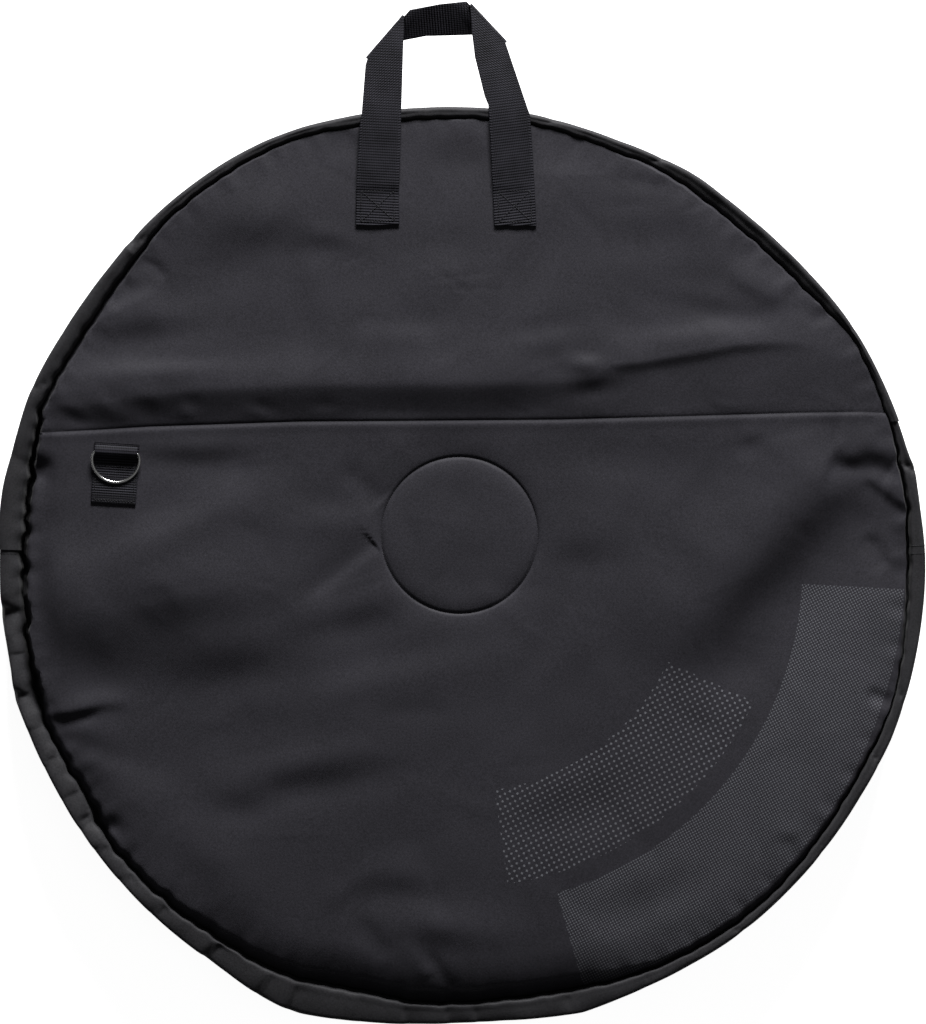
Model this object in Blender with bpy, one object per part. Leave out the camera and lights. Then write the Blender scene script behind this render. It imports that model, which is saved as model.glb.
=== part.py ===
"""Padded round bag for one bicycle wheel, lying on its back.

+Z points up through the front panel, +Y towards the carry handle, +X to the right of the front.
The origin is on the floor under the middle of the whole outline. All lengths are in metres.

The front is two padded panels that meet at a straight seam above the hub pad. A zip runs round the
upper half of the side band. With the zip open, the upper front panel folds back at that seam.
"""
import math

import bmesh
import bpy
from mathutils import Vector

# Whole bag
RIM_RADIUS = 0.389
BAND_BULGE = 0.013
BAG_DEPTH = 0.064
FRONT_CROWN = 0.006
RING_SIDES = 72
SHARP_ANGLE = math.radians(30.0)
GAP = 0.0003

# Layers of cloth and foam
CLOTH = 0.0010
FOAM = 0.0050
LINING = 0.0008
PANEL_LIP = 0.0012
FOAM_INSET = 0.0045
BINDING_WIDTH = 0.0095
BINDING_THICKNESS = 0.0020

# Fold seam across the front, above the bag's centre
FOLD_HEIGHT = 0.122
FOLD_CLEARANCE = 0.0006
FOLD_TAPE_WIDTH = 0.016
CHORD_PIECES = 8

# Side band: height up the band against how far it swells there
SWELL_SHARES = ((0.0, 0.0), (0.12, 0.45), (0.30, 0.85), (0.42, 1.0),
                (0.58, 1.0), (0.70, 0.85), (0.88, 0.45), (1.0, 0.0))
JOIN_HEIGHT = 0.014
JOIN_TAPE_WIDTH = 0.022

# Zip
ZIP_SLOT = 0.012
ZIP_PARTING = 0.0012
TAPE_WIDTH = 0.0145
TAPE_THICKNESS = 0.0007
COIL_WIDTH = 0.0024
COIL_THICKNESS = 0.0020

# Zip sliders and pulls
SLIDER_LENGTH = 0.012
SLIDER_WIDTH = 0.0092
SLIDER_PLATE = 0.0016
SLIDER_NECK = 0.0006
SLIDER_PLAY = 0.0008
ZIP_MEETING_ANGLE = math.radians(28.0)
SLIDER_REST_ANGLE = math.radians(3.0)
BAIL_THICKNESS = 0.0010
BAIL_WIDTH = 0.0024
BAIL_CLEARANCE = 0.0003
PULL_LENGTH = 0.025
PULL_WIDTH = 0.0060
PULL_THICKNESS = 0.0010

# Hub pads
HUB_X = -0.003
HUB_Y = 0.026
HUB_DISC_RADIUS = 0.062
HUB_DISC_THICKNESS = 0.0020
HUB_SIDES = 24

# Webbing
WEBBING_WIDTH = 0.037
WEBBING_THICKNESS = 0.0018

# Carry handle, measured from the bag's centre and from its rim
HANDLE_HINGE_INSET = 0.071
HANDLE_TAB_LENGTH = 0.032
HANDLE_REACH = 0.088
LEFT_LEG_X = -0.0717
LEFT_TAB_LEAN = math.radians(0.5)
LEFT_LEG_LEAN = math.radians(2.0)
LEFT_FREE_LEAN = math.radians(3.5)
LEFT_FOLD_WIDTH = 0.0330
RIGHT_LEG_X = 0.0388
RIGHT_TAB_LEAN = math.radians(-8.0)
RIGHT_LEG_LEAN = math.radians(-1.4)
RIGHT_FREE_LEAN = math.radians(-13.0)
RIGHT_FOLD_WIDTH = 0.0260
LEFT_FOLD_DROP = 0.0440
RIGHT_FOLD_DROP = 0.0365
CROSS_BAND_TILT_DROP = 0.0070
CROSS_BAND_HEIGHT = 0.0300
CROSS_BAND_LAP = 0.0002
HANDLE_DROOP = 0.012
DRAPE_PIECES = 6

# D-ring, its loop and its backing patch, placed from the rim and from the fold seam
RING_FROM_RIM = 0.096
RING_BELOW_FOLD = 0.0255
RING_TURN = math.radians(-3.5)
RING_WIRE_RADIUS = 0.0015
RING_HALF_WIDTH = 0.0203
RING_REACH = 0.0250
RING_STRAIGHT = 0.0060
RING_BOW_POINTS = 13
LOOP_WIDTH = 0.0355
LOOP_LENGTH = 0.0090
LOOP_WALL = 0.0014
LOOP_SIDES = 8
PATCH_WIDTH = 0.0390
PATCH_ABOVE_RING = 0.0080
PATCH_BELOW_RING = 0.0440

# Sizes worked out from the ones above
SEAM_RADIUS = RIM_RADIUS - BAND_BULGE
BAND_LOW = CLOTH + GAP
BAND_HIGH = BAG_DEPTH - CLOTH - GAP
BAND_HEIGHT = BAND_HIGH - BAND_LOW
ZIP_Z = (BAND_LOW + BAND_HIGH) / 2
FOAM_RADIUS = SEAM_RADIUS - FOAM_INSET
BACK_FOAM_LOW = CLOTH + GAP
BACK_LINING_LOW = BACK_FOAM_LOW + FOAM + GAP
BACK_BINDING_LOW = BACK_LINING_LOW + LINING + GAP
FRONT_CLOTH_LOW = BAG_DEPTH - CLOTH
FRONT_FOAM_LOW = FRONT_CLOTH_LOW - GAP - FOAM
FRONT_LINING_LOW = FRONT_FOAM_LOW - GAP - LINING
FRONT_BINDING_LOW = FRONT_LINING_LOW - GAP - BINDING_THICKNESS
TAPE_OFFSET = CLOTH + GAP
COIL_OFFSET = TAPE_OFFSET + TAPE_THICKNESS + GAP
BAG_CENTRE = Vector((0.0, -HANDLE_REACH / 2, 0.0))
HANDLE_HINGE_Y = RIM_RADIUS - HANDLE_HINGE_INSET
RING_X = RING_FROM_RIM - RIM_RADIUS
RING_Y = FOLD_HEIGHT - RING_BELOW_FOLD
SLAB_RING_SHARES = (1.0, 0.67, 0.34)

# Colours, linear
SHELL_BLACK = (0.030, 0.029, 0.036)
BAND_BLACK = (0.027, 0.027, 0.029)
LINING_GREY = (0.060, 0.062, 0.066)
FOAM_GREY = (0.300, 0.300, 0.310)
WEBBING_BLACK = (0.020, 0.020, 0.023)
BINDING_BLACK = (0.016, 0.016, 0.018)
COIL_BLACK = (0.012, 0.012, 0.013)
DISC_BLACK = (0.035, 0.035, 0.038)
SLIDER_GREY = (0.110, 0.110, 0.115)
STEEL = (0.560, 0.560, 0.550)


def clear_scene():
    for item in list(bpy.data.objects):
        bpy.data.objects.remove(item, do_unlink=True)


def make_material(name, colour, roughness, metallic=0.0):
    """A plain finish in one colour."""
    material = bpy.data.materials.new(name)
    material.use_nodes = True
    shader = material.node_tree.nodes["Principled BSDF"]
    shader.inputs["Base Color"].default_value = (*colour, 1.0)
    shader.inputs["Roughness"].default_value = roughness
    shader.inputs["Metallic"].default_value = metallic
    return material


def add_empty(name, location):
    """An unseen parent that carries pieces."""
    empty = bpy.data.objects.new(name, None)
    empty.location = location
    bpy.context.scene.collection.objects.link(empty)
    return empty


def add_object(name, bm, material, parent, origin=(0.0, 0.0, 0.0)):
    """Puts a mesh that was drawn about the bag's centre into an object with the given origin."""
    origin = Vector(origin)
    bmesh.ops.translate(bm, verts=bm.verts, vec=-origin)
    bmesh.ops.recalc_face_normals(bm, faces=bm.faces)
    mesh = bpy.data.meshes.new(name)
    bm.to_mesh(mesh)
    bm.free()
    mesh.materials.append(material)
    mesh.shade_smooth()
    mesh.set_sharp_from_angle(angle=SHARP_ANGLE)
    item = bpy.data.objects.new(name, mesh)
    item.location = origin
    item.parent = parent
    bpy.context.scene.collection.objects.link(item)
    return item


def add_cutter(name, bm, parent, origin=(0.0, 0.0, 0.0)):
    """A guide shape for a Boolean, left out of the finished bag."""
    material = bpy.data.materials.get("guide") or make_material("guide", STEEL, 0.5)
    cutter = add_object(name, bm, material, parent, origin)
    cutter.hide_render = True
    cutter.display_type = "WIRE"
    return cutter


def apply_boolean(item, other, operation):
    modifier = item.modifiers.new(operation.title(), "BOOLEAN")
    modifier.operation = operation
    modifier.solver = "EXACT"
    modifier.object = other


def facet_radius(radius, angle):
    """Reach, at this angle, of the regular polygon with its corners at the given radius."""
    step = 2 * math.pi / RING_SIDES
    half = step / 2
    return radius * math.cos(half) / math.cos(angle % step - half)


def rim_point(radius, angle):
    reach = facet_radius(radius, angle)
    return reach * math.cos(angle), reach * math.sin(angle)


def right_cut_angle(radius, height):
    """Angle of the polygon's right-hand point that lies at this height above the centre."""
    angle = math.asin(height / radius)
    for _ in range(8):
        angle = math.asin(height / facet_radius(radius, angle))
    return angle


def left_cut_angle(radius, height):
    return math.pi - right_cut_angle(radius, height)


def corners_between(start, end):
    """The polygon's corner angles that lie strictly between two angles."""
    step = 2 * math.pi / RING_SIDES
    margin = step / 100
    first = math.floor(start / step) + 1
    last = math.ceil(end / step) - 1
    angles = [index * step for index in range(first, last + 1)]
    return [angle for angle in angles if start + margin < angle < end - margin]


def crown(x, y):
    """Rise of the front panel over its seam level."""
    return FRONT_CROWN * (1.0 - (x * x + y * y) / SEAM_RADIUS ** 2)


def flat(x, y):
    return 0.0


def swell(height):
    """Outer radius of the side band at this height above the floor."""
    share = (height - BAND_LOW) / BAND_HEIGHT
    for (low, reach_low), (high, reach_high) in zip(SWELL_SHARES, SWELL_SHARES[1:]):
        if share <= high:
            part = (share - low) / (high - low)
            return SEAM_RADIUS + BAND_BULGE * (reach_low + part * (reach_high - reach_low))
    return SEAM_RADIUS


def band_profile(low, high, offset, wall):
    """Closed section of a layer of the band, as (radius, height), offset inwards from its face."""
    levels = [BAND_LOW + BAND_HEIGHT * share for share, _ in SWELL_SHARES]
    margin = BAND_HEIGHT / 1000
    heights = [low] + [z for z in levels if low + margin < z < high - margin] + [high]
    outer = [(swell(z) - offset, z) for z in heights]
    inner = [(radius - wall, z) for radius, z in reversed(outer)]
    return outer + inner


def box_profile(inner_radius, outer_radius, low, high):
    return [(outer_radius, low), (outer_radius, high), (inner_radius, high), (inner_radius, low)]


def swept_band(profile, start=None, end=None):
    """A section carried round the bag. start and end give the end angle for each radius."""
    bm = bmesh.new()
    closed = start is None
    if closed:
        step = 2 * math.pi / RING_SIDES
        rings = [[index * step] * len(profile) for index in range(RING_SIDES)]
    else:
        first = [start(radius) for radius, _ in profile]
        last = [end(radius) for radius, _ in profile]
        middle = corners_between(max(first), min(last))
        rings = [first] + [[angle] * len(profile) for angle in middle] + [last]
    loops = []
    for ring in rings:
        loop = []
        for (radius, z), angle in zip(profile, ring):
            loop.append(bm.verts.new((*rim_point(radius, angle), z)))
        loops.append(loop)
    pairs = list(zip(loops, loops[1:]))
    if closed:
        pairs.append((loops[-1], loops[0]))
    count = len(profile)
    for loop, after in pairs:
        for index in range(count):
            other = (index + 1) % count
            bm.faces.new((loop[index], loop[other], after[other], after[index]))
    if not closed:
        bm.faces.new(loops[0])
        bm.faces.new(loops[-1])
    return bm


def panel_slab(outline, low, high, rise, ring_shares=SLAB_RING_SHARES):
    """A layer over a convex outline: rings drawn in towards its middle, raised by rise(x, y)."""
    bm = bmesh.new()
    middle_x = sum(x for x, _ in outline) / len(outline)
    middle_y = sum(y for _, y in outline) / len(outline)
    faces = []
    for level in (low, high):
        rings = []
        for share in ring_shares:
            ring = []
            for x, y in outline:
                px = middle_x + share * (x - middle_x)
                py = middle_y + share * (y - middle_y)
                ring.append(bm.verts.new((px, py, level + rise(px, py))))
            rings.append(ring)
        faces.append(rings)
    count = len(outline)
    for rings in faces:
        for ring, inner in zip(rings, rings[1:]):
            for index in range(count):
                other = (index + 1) % count
                bm.faces.new((ring[index], ring[other], inner[other], inner[index]))
    for index in range(count):
        other = (index + 1) % count
        bottom, top = faces[0][0], faces[1][0]
        bm.faces.new((bottom[index], bottom[other], top[other], top[index]))
    for rings, level in zip(faces, (low, high)):
        hub = bm.verts.new((middle_x, middle_y, level + rise(middle_x, middle_y)))
        last = rings[-1]
        for index in range(count):
            bm.faces.new((last[index], last[(index + 1) % count], hub))
    return bm


def flat_disc(outline, low, high):
    """A plain layer of even thickness."""
    bm = bmesh.new()
    bottom = [bm.verts.new((x, y, low)) for x, y in outline]
    top = [bm.verts.new((x, y, high)) for x, y in outline]
    bm.faces.new(bottom)
    bm.faces.new(top)
    count = len(outline)
    for index in range(count):
        other = (index + 1) % count
        bm.faces.new((bottom[index], bottom[other], top[other], top[index]))
    return bm


def circle_outline(radius, x=0.0, y=0.0, sides=RING_SIDES):
    step = 2 * math.pi / sides
    return [(x + radius * math.cos(i * step), y + radius * math.sin(i * step)) for i in range(sides)]


def chord_points(radius, height, from_left):
    """Points along the straight cut, its two ends left out."""
    half = rim_point(radius, right_cut_angle(radius, height))[0]
    shares = [2 * i / CHORD_PIECES - 1 for i in range(1, CHORD_PIECES)]
    sign = 1.0 if from_left else -1.0
    return [(sign * half * share, height) for share in shares]


def upper_outline(radius, height):
    """The part of the round outline above a straight cut."""
    start = right_cut_angle(radius, height)
    end = left_cut_angle(radius, height)
    angles = [start] + corners_between(start, end) + [end]
    return [rim_point(radius, angle) for angle in angles] + chord_points(radius, height, True)


def lower_outline(radius, height):
    """The part of the round outline below a straight cut."""
    start = left_cut_angle(radius, height)
    end = 2 * math.pi + right_cut_angle(radius, height)
    angles = [start] + corners_between(start, end) + [end]
    return [rim_point(radius, angle) for angle in angles] + chord_points(radius, height, False)


def box_mesh(low, high):
    """A box between two corners."""
    bm = bmesh.new()
    corners = bmesh.ops.create_cube(bm, size=1.0)["verts"]
    low, high = Vector(low), Vector(high)
    size = high - low
    middle = (low + high) / 2
    bmesh.ops.scale(bm, verts=corners, vec=size)
    bmesh.ops.translate(bm, verts=corners, vec=middle)
    return bm


def extruded(points, direction):
    """A flat outline, given as 3-D points, carried along a straight direction."""
    bm = bmesh.new()
    first = [bm.verts.new(point) for point in points]
    last = [bm.verts.new(Vector(point) + Vector(direction)) for point in points]
    bm.faces.new(first)
    bm.faces.new(last)
    count = len(points)
    for index in range(count):
        other = (index + 1) % count
        bm.faces.new((first[index], first[other], last[other], last[index]))
    return bm


def add_hub_pad(name, foam, low, high, rise, materials, bag):
    """A stiff disc let into the foam from the side between the two levels given."""
    outline = circle_outline(HUB_DISC_RADIUS, HUB_X, HUB_Y, HUB_SIDES)
    disc = panel_slab(outline, low, high, rise, ring_shares=(1.0,))
    add_object(name, disc, materials["disc"], bag)
    recess = circle_outline(HUB_DISC_RADIUS + GAP, HUB_X, HUB_Y, HUB_SIDES)
    overrun = HUB_DISC_THICKNESS
    cut_low = low - GAP if rise is crown else low - overrun
    cut_high = high + overrun if rise is crown else high + GAP
    cutter_mesh = panel_slab(recess, cut_low, cut_high, rise, ring_shares=(1.0,))
    apply_boolean(foam, add_cutter(f"{name}_recess", cutter_mesh, bag), "DIFFERENCE")


def add_back(materials, bag):
    """Back panel: outer cloth, foam, lining and the hub pad between cloth and foam."""
    cloth = flat_disc(circle_outline(SEAM_RADIUS + PANEL_LIP), 0.0, CLOTH)
    add_object("back_panel", cloth, materials["shell"], bag)
    foam = flat_disc(circle_outline(FOAM_RADIUS), BACK_FOAM_LOW, BACK_FOAM_LOW + FOAM)
    foam = add_object("back_foam", foam, materials["foam"], bag)
    add_hub_pad("back_hub_disc", foam, BACK_FOAM_LOW, BACK_FOAM_LOW + HUB_DISC_THICKNESS,
                flat, materials, bag)
    lining = flat_disc(circle_outline(FOAM_RADIUS), BACK_LINING_LOW, BACK_LINING_LOW + LINING)
    add_object("back_lining", lining, materials["lining"], bag)
    profile = box_profile(FOAM_RADIUS - BINDING_WIDTH, FOAM_RADIUS,
                          BACK_BINDING_LOW, BACK_BINDING_LOW + BINDING_THICKNESS)
    add_object("back_seam_binding", swept_band(profile), materials["binding"], bag)


def add_front_half(part, outline_of, height, start, end, materials, bag, origin):
    """One front panel: outer cloth, foam, lining and the binding along its round seam."""
    layers = (("panel", SEAM_RADIUS + PANEL_LIP, FRONT_CLOTH_LOW, CLOTH, "shell"),
              ("foam", FOAM_RADIUS, FRONT_FOAM_LOW, FOAM, "foam"),
              ("lining", FOAM_RADIUS, FRONT_LINING_LOW, LINING, "lining"))
    made = {}
    for layer, radius, low, thickness, finish in layers:
        bm = panel_slab(outline_of(radius, height), low, low + thickness, crown)
        made[layer] = add_object(f"front_{part}_{layer}", bm, materials[finish], bag, origin)
    profile = box_profile(FOAM_RADIUS - BINDING_WIDTH, FOAM_RADIUS,
                          FRONT_BINDING_LOW, FRONT_BINDING_LOW + BINDING_THICKNESS)
    binding = swept_band(profile, start, end)
    add_object(f"front_{part}_binding", binding, materials["binding"], bag, origin)
    return made


def add_fold_tape(materials, bag):
    """Tape on the inside of the lower panel, along the seam that the upper panel folds at."""
    radius = FOAM_RADIUS - BINDING_WIDTH - GAP
    top = FOLD_HEIGHT - GAP
    half = rim_point(radius, right_cut_angle(radius, top))[0]
    shares = [2 * i / CHORD_PIECES - 1 for i in range(CHORD_PIECES + 1)]
    upper = [(half * share, top) for share in shares]
    lower = [(x, top - FOLD_TAPE_WIDTH) for x, _ in reversed(upper)]
    low = FRONT_LINING_LOW - GAP - LINING
    tape = panel_slab(upper + lower, low, low + LINING, crown, ring_shares=(1.0,))
    add_object("fold_seam_tape", tape, materials["binding"], bag)


def band_side(name, profile, finish, materials, parent, start, end, origin=(0.0, 0.0, 0.0)):
    add_object(name, swept_band(profile, start, end), materials[finish], parent, origin)


def add_side_band(materials, bag, flap_origin):
    """The band round the rim: plain cloth below the joins, zip between two strips above them."""
    left_join = left_cut_angle(RIM_RADIUS, JOIN_HEIGHT)
    right_join = right_cut_angle(RIM_RADIUS, JOIN_HEIGHT)
    join_gap = GAP / RIM_RADIUS
    full_turn = 2 * math.pi
    cloth = band_profile(BAND_LOW, BAND_HIGH, 0.0, CLOTH)
    lining_low = BACK_BINDING_LOW + BINDING_THICKNESS + GAP
    lining_high = FRONT_BINDING_LOW - GAP
    lining = band_profile(lining_low, lining_high, CLOTH + GAP, LINING)
    lower = (lambda r: left_join + join_gap, lambda r: full_turn + right_join - join_gap)
    band_side("base_gusset", cloth, "band", materials, bag, *lower)
    tape_turn = JOIN_TAPE_WIDTH / 2 / RIM_RADIUS
    lined = (lambda r: left_join + tape_turn + join_gap,
             lambda r: full_turn + right_join - tape_turn - join_gap)
    band_side("base_gusset_lining", lining, "lining", materials, bag, *lined)

    slot_low, slot_high = ZIP_Z - ZIP_SLOT / 2, ZIP_Z + ZIP_SLOT / 2
    part_low, part_high = ZIP_Z - ZIP_PARTING / 2, ZIP_Z + ZIP_PARTING / 2
    back_layers = (
        ("strip", band_profile(BAND_LOW, slot_low, 0.0, CLOTH), "band"),
        ("tape", band_profile(part_low - TAPE_WIDTH, part_low, TAPE_OFFSET, TAPE_THICKNESS), "tape"),
        ("coil", band_profile(part_low - COIL_WIDTH, part_low, COIL_OFFSET, COIL_THICKNESS), "coil"))
    front_layers = (
        ("strip", band_profile(slot_high, BAND_HIGH, 0.0, CLOTH), "band"),
        ("tape", band_profile(part_high, part_high + TAPE_WIDTH, TAPE_OFFSET, TAPE_THICKNESS), "tape"),
        ("coil", band_profile(part_high, part_high + COIL_WIDTH, COIL_OFFSET, COIL_THICKNESS), "coil"))

    taped_left = left_join - tape_turn - join_gap
    taped_right = right_join + tape_turn + join_gap
    fold_top = FOLD_HEIGHT + FOLD_CLEARANCE
    for layer, profile, finish in back_layers:
        to_left = left_join if layer == "strip" else taped_left
        from_right = right_join if layer == "strip" else taped_right
        band_side(f"zip_{layer}_back", profile, finish, materials, bag,
                  lambda r, a=from_right: a, lambda r, a=to_left: a)
    for layer, profile, finish in front_layers:
        to_left = left_join if layer == "strip" else taped_left
        from_right = right_join if layer == "strip" else taped_right
        band_side(f"zip_{layer}_flap", profile, finish, materials, bag,
                  lambda r: right_cut_angle(r, fold_top), lambda r: left_cut_angle(r, fold_top),
                  flap_origin)
        band_side(f"zip_{layer}_front_right", profile, finish, materials, bag,
                  lambda r, a=from_right: a, lambda r: right_cut_angle(r, FOLD_HEIGHT))
        band_side(f"zip_{layer}_front_left", profile, finish, materials, bag,
                  lambda r: left_cut_angle(r, FOLD_HEIGHT), lambda r, a=to_left: a)

    join_tape = band_profile(lining_low, lining_high, CLOTH + GAP, LINING)
    for side, join in (("left", left_join), ("right", right_join)):
        band_side(f"join_tape_{side}", join_tape, "binding", materials, bag,
                  lambda r, a=join - tape_turn: a, lambda r, a=join + tape_turn: a)


def slider_profile():
    """Section of a slider, as (radius, height from the zip): plate, neck, plate."""
    track = swell(ZIP_Z)
    outer_face = track - TAPE_OFFSET + SLIDER_PLAY
    inner_corner = track - COIL_OFFSET - COIL_THICKNESS
    inner_face = inner_corner * math.cos(math.pi / RING_SIDES) - GAP
    top = outer_face + SLIDER_PLATE
    bottom = inner_face - SLIDER_PLATE
    half, neck = SLIDER_WIDTH / 2, SLIDER_NECK / 2
    return [(top, -half), (top, half), (outer_face, half), (outer_face, neck),
            (inner_face, neck), (inner_face, half), (bottom, half), (bottom, -half),
            (inner_face, -half), (inner_face, -neck), (outer_face, -neck), (outer_face, -half)]


def add_sliders(materials, bag):
    """Two zip sliders that meet left of the handle, each with a pull on its bail."""
    profile = slider_profile()
    plate_top = profile[0][0]
    bar_half = PULL_THICKNESS / 2
    swing_room = bar_half * math.sqrt(2) + BAIL_CLEARANCE
    bar_radius = plate_top + swing_room
    bail_gap = swing_room
    bail_out = bail_gap + BAIL_THICKNESS
    bail_sink = SLIDER_PLATE / 2
    for side, turn in (("left", 1.0), ("right", -1.0)):
        carrier = add_empty(f"slider_{side}_axis", (0.0, 0.0, ZIP_Z))
        carrier.rotation_euler = (0.0, 0.0, ZIP_MEETING_ANGLE + turn * SLIDER_REST_ANGLE)
        carrier.parent = bag
        half = SLIDER_LENGTH / 2
        body = extruded([(-half, radius, height) for radius, height in profile],
                        (SLIDER_LENGTH, 0.0, 0.0))
        slider = add_object(f"zip_slider_{side}", body, materials["slider"], carrier)
        low = plate_top - bail_sink
        high = bar_radius + bail_out
        arch = [(-bail_out, low), (-bail_out, high), (bail_out, high), (bail_out, low),
                (bail_gap, low), (bail_gap, bar_radius + bail_gap),
                (-bail_gap, bar_radius + bail_gap), (-bail_gap, low)]
        bail = extruded([(x, y, -BAIL_WIDTH / 2) for x, y in arch], (0.0, 0.0, BAIL_WIDTH))
        apply_boolean(slider, add_cutter(f"bail_{side}", bail, carrier), "UNION")

        pull = box_mesh((-PULL_LENGTH, bar_radius - bar_half, -PULL_WIDTH / 2),
                        (bar_half, bar_radius + bar_half, PULL_WIDTH / 2))
        eye_end = math.hypot(bail_out, bail_out) + BAIL_CLEARANCE
        eye_half = BAIL_WIDTH / 2 + BAIL_CLEARANCE
        eye = box_mesh((-eye_end, bar_radius - PULL_THICKNESS, -eye_half),
                       (-bar_half, bar_radius + PULL_THICKNESS, eye_half))
        for bm in (pull, eye):
            bmesh.ops.scale(bm, verts=bm.verts, vec=(turn, 1.0, 1.0))
        bar_axis = (0.0, bar_radius, 0.0)
        pull = add_object(f"zip_pull_{side}", pull, materials["slider"], carrier, bar_axis)
        cutter = add_cutter(f"pull_eye_{side}", eye, carrier, bar_axis)
        apply_boolean(pull, cutter, "DIFFERENCE")


def leg_edge(foot_x, lean, free_lean, fold_width, side, y):
    """Edge of a handle leg at this height. Past the rim it leans more and turns edge on."""
    on_panel = min(y, RIM_RADIUS) - HANDLE_HINGE_Y
    past = max(0.0, y - RIM_RADIUS)
    middle = foot_x + on_panel * math.tan(lean) + past * math.tan(free_lean)
    width = WEBBING_WIDTH + (fold_width - WEBBING_WIDTH) * past / HANDLE_REACH
    return middle + side * width / 2


def left_edge(side, y):
    return leg_edge(LEFT_LEG_X, LEFT_LEG_LEAN, LEFT_FREE_LEAN, LEFT_FOLD_WIDTH, side, y)


def right_edge(side, y):
    return leg_edge(RIGHT_LEG_X, RIGHT_LEG_LEAN, RIGHT_FREE_LEAN, RIGHT_FOLD_WIDTH, side, y)


def handle_level():
    """Underside of the webbing where it leaves its sewn ends."""
    foot = HANDLE_HINGE_Y - HANDLE_TAB_LENGTH
    nearest = min(abs(LEFT_LEG_X), abs(RIGHT_LEG_X)) - WEBBING_WIDTH / 2
    return BAG_DEPTH + crown(nearest, foot) + GAP


def droop(y):
    """How far the free loop hangs below its start, growing past the rim."""
    past = max(0.0, y - RIM_RADIUS) / HANDLE_REACH
    return HANDLE_DROOP * past * past


def draped(points, low, high):
    """Webbing over a flat outline, cut across into short pieces so that it can hang."""
    bm = bmesh.new()
    bm.faces.new([bm.verts.new((x, y, low)) for x, y in points])
    for index in range(DRAPE_PIECES):
        y = RIM_RADIUS + HANDLE_REACH * index / DRAPE_PIECES
        geometry = bm.verts[:] + bm.edges[:] + bm.faces[:]
        bmesh.ops.bisect_plane(bm, geom=geometry, plane_co=(0.0, y, 0.0), plane_no=(0.0, 1.0, 0.0))
    lifted = bmesh.ops.extrude_face_region(bm, geom=bm.faces[:])["geom"]
    for item in lifted:
        if isinstance(item, bmesh.types.BMVert):
            item.co.z += high - low
    for vert in bm.verts:
        vert.co.z -= droop(vert.co.y)
    return bm


def add_handle(materials, bag):
    """Two sewn webbing ends on the upper panel, and the free loop between them."""
    half = WEBBING_WIDTH / 2
    level = handle_level()
    top = level + WEBBING_THICKNESS
    foot = HANDLE_HINGE_Y - HANDLE_TAB_LENGTH
    tabs = (("left", LEFT_LEG_X, LEFT_TAB_LEAN), ("right", RIGHT_LEG_X, RIGHT_TAB_LEAN))
    for side, x, lean in tabs:
        low_x = x - HANDLE_TAB_LENGTH * math.tan(lean)
        corners = [(low_x - half, foot), (low_x + half, foot),
                   (x + half, HANDLE_HINGE_Y), (x - half, HANDLE_HINGE_Y)]
        tab = flat_disc(corners, level, top)
        for vert in tab.verts:
            vert.co.z -= level - BAG_DEPTH - GAP - crown(vert.co.x, vert.co.y)
        add_object(f"handle_{side}_tab", tab, materials["webbing"], bag)

    start = HANDLE_HINGE_Y + GAP
    top_right = RIM_RADIUS + HANDLE_REACH
    top_left = top_right - CROSS_BAND_TILT_DROP
    outer_left = top_left - LEFT_FOLD_DROP
    outer_right = top_right - RIGHT_FOLD_DROP
    left_leg = [(left_edge(-1, start), start), (left_edge(1, start), start),
                (left_edge(1, RIM_RADIUS), RIM_RADIUS), (left_edge(1, top_left), top_left),
                (left_edge(-1, outer_left), outer_left), (left_edge(-1, RIM_RADIUS), RIM_RADIUS)]
    right_leg = [(right_edge(-1, start), start), (right_edge(1, start), start),
                 (right_edge(1, RIM_RADIUS), RIM_RADIUS), (right_edge(1, outer_right), outer_right),
                 (right_edge(-1, top_right), top_right), (right_edge(-1, RIM_RADIUS), RIM_RADIUS)]
    low_left = top_left - CROSS_BAND_HEIGHT
    low_right = top_right - CROSS_BAND_HEIGHT
    cross_band = [left_leg[4], (left_edge(1, low_left), low_left),
                  (right_edge(-1, low_right), low_right), right_leg[3], right_leg[4], left_leg[3]]
    hinge = (0.0, HANDLE_HINGE_Y, top)
    loop = add_object("handle_loop", draped(left_leg, level, top), materials["webbing"], bag, hinge)
    other = add_cutter("handle_right_leg", draped(right_leg, level, top), bag, hinge)
    apply_boolean(loop, other, "UNION")
    band = draped(cross_band, level - WEBBING_THICKNESS, level + CROSS_BAND_LAP)
    apply_boolean(loop, add_cutter("handle_cross_band", band, bag, hinge), "UNION")


def loop_section(bar_y, bar_z, floor):
    """Outer and inner outline of the folded loop round the ring's bar, as (y, z)."""
    room = RING_WIRE_RADIUS + GAP
    inner, outer = [], []
    reach = room + LOOP_WALL
    far = bar_y - reach + LOOP_LENGTH
    for index in range(LOOP_SIDES):
        angle = 2 * math.pi * (index + 0.5) / LOOP_SIDES
        span = 1.0 / math.cos(math.pi / LOOP_SIDES)
        inner.append((bar_y + room * span * math.cos(angle), bar_z + room * span * math.sin(angle)))
        y = bar_y + reach * span * math.cos(angle)
        z = max(floor, bar_z + reach * span * math.sin(angle))
        if math.cos(angle) > 0:
            y = far
        outer.append((y, z))
    return outer, inner


def tube_between(outer, inner, start_x, end_x):
    """A hollow section carried along X."""
    bm = bmesh.new()
    rows = []
    for x in (start_x, end_x):
        rows.append([[bm.verts.new((x, y, z)) for y, z in loop] for loop in (outer, inner)])
    count = len(outer)
    (outer_a, inner_a), (outer_b, inner_b) = rows
    for index in range(count):
        other = (index + 1) % count
        bm.faces.new((outer_a[index], outer_a[other], outer_b[other], outer_b[index]))
        bm.faces.new((inner_a[index], inner_a[other], inner_b[other], inner_b[index]))
        bm.faces.new((outer_a[index], outer_a[other], inner_a[other], inner_a[index]))
        bm.faces.new((outer_b[index], outer_b[other], inner_b[other], inner_b[index]))
    return bm


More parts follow.
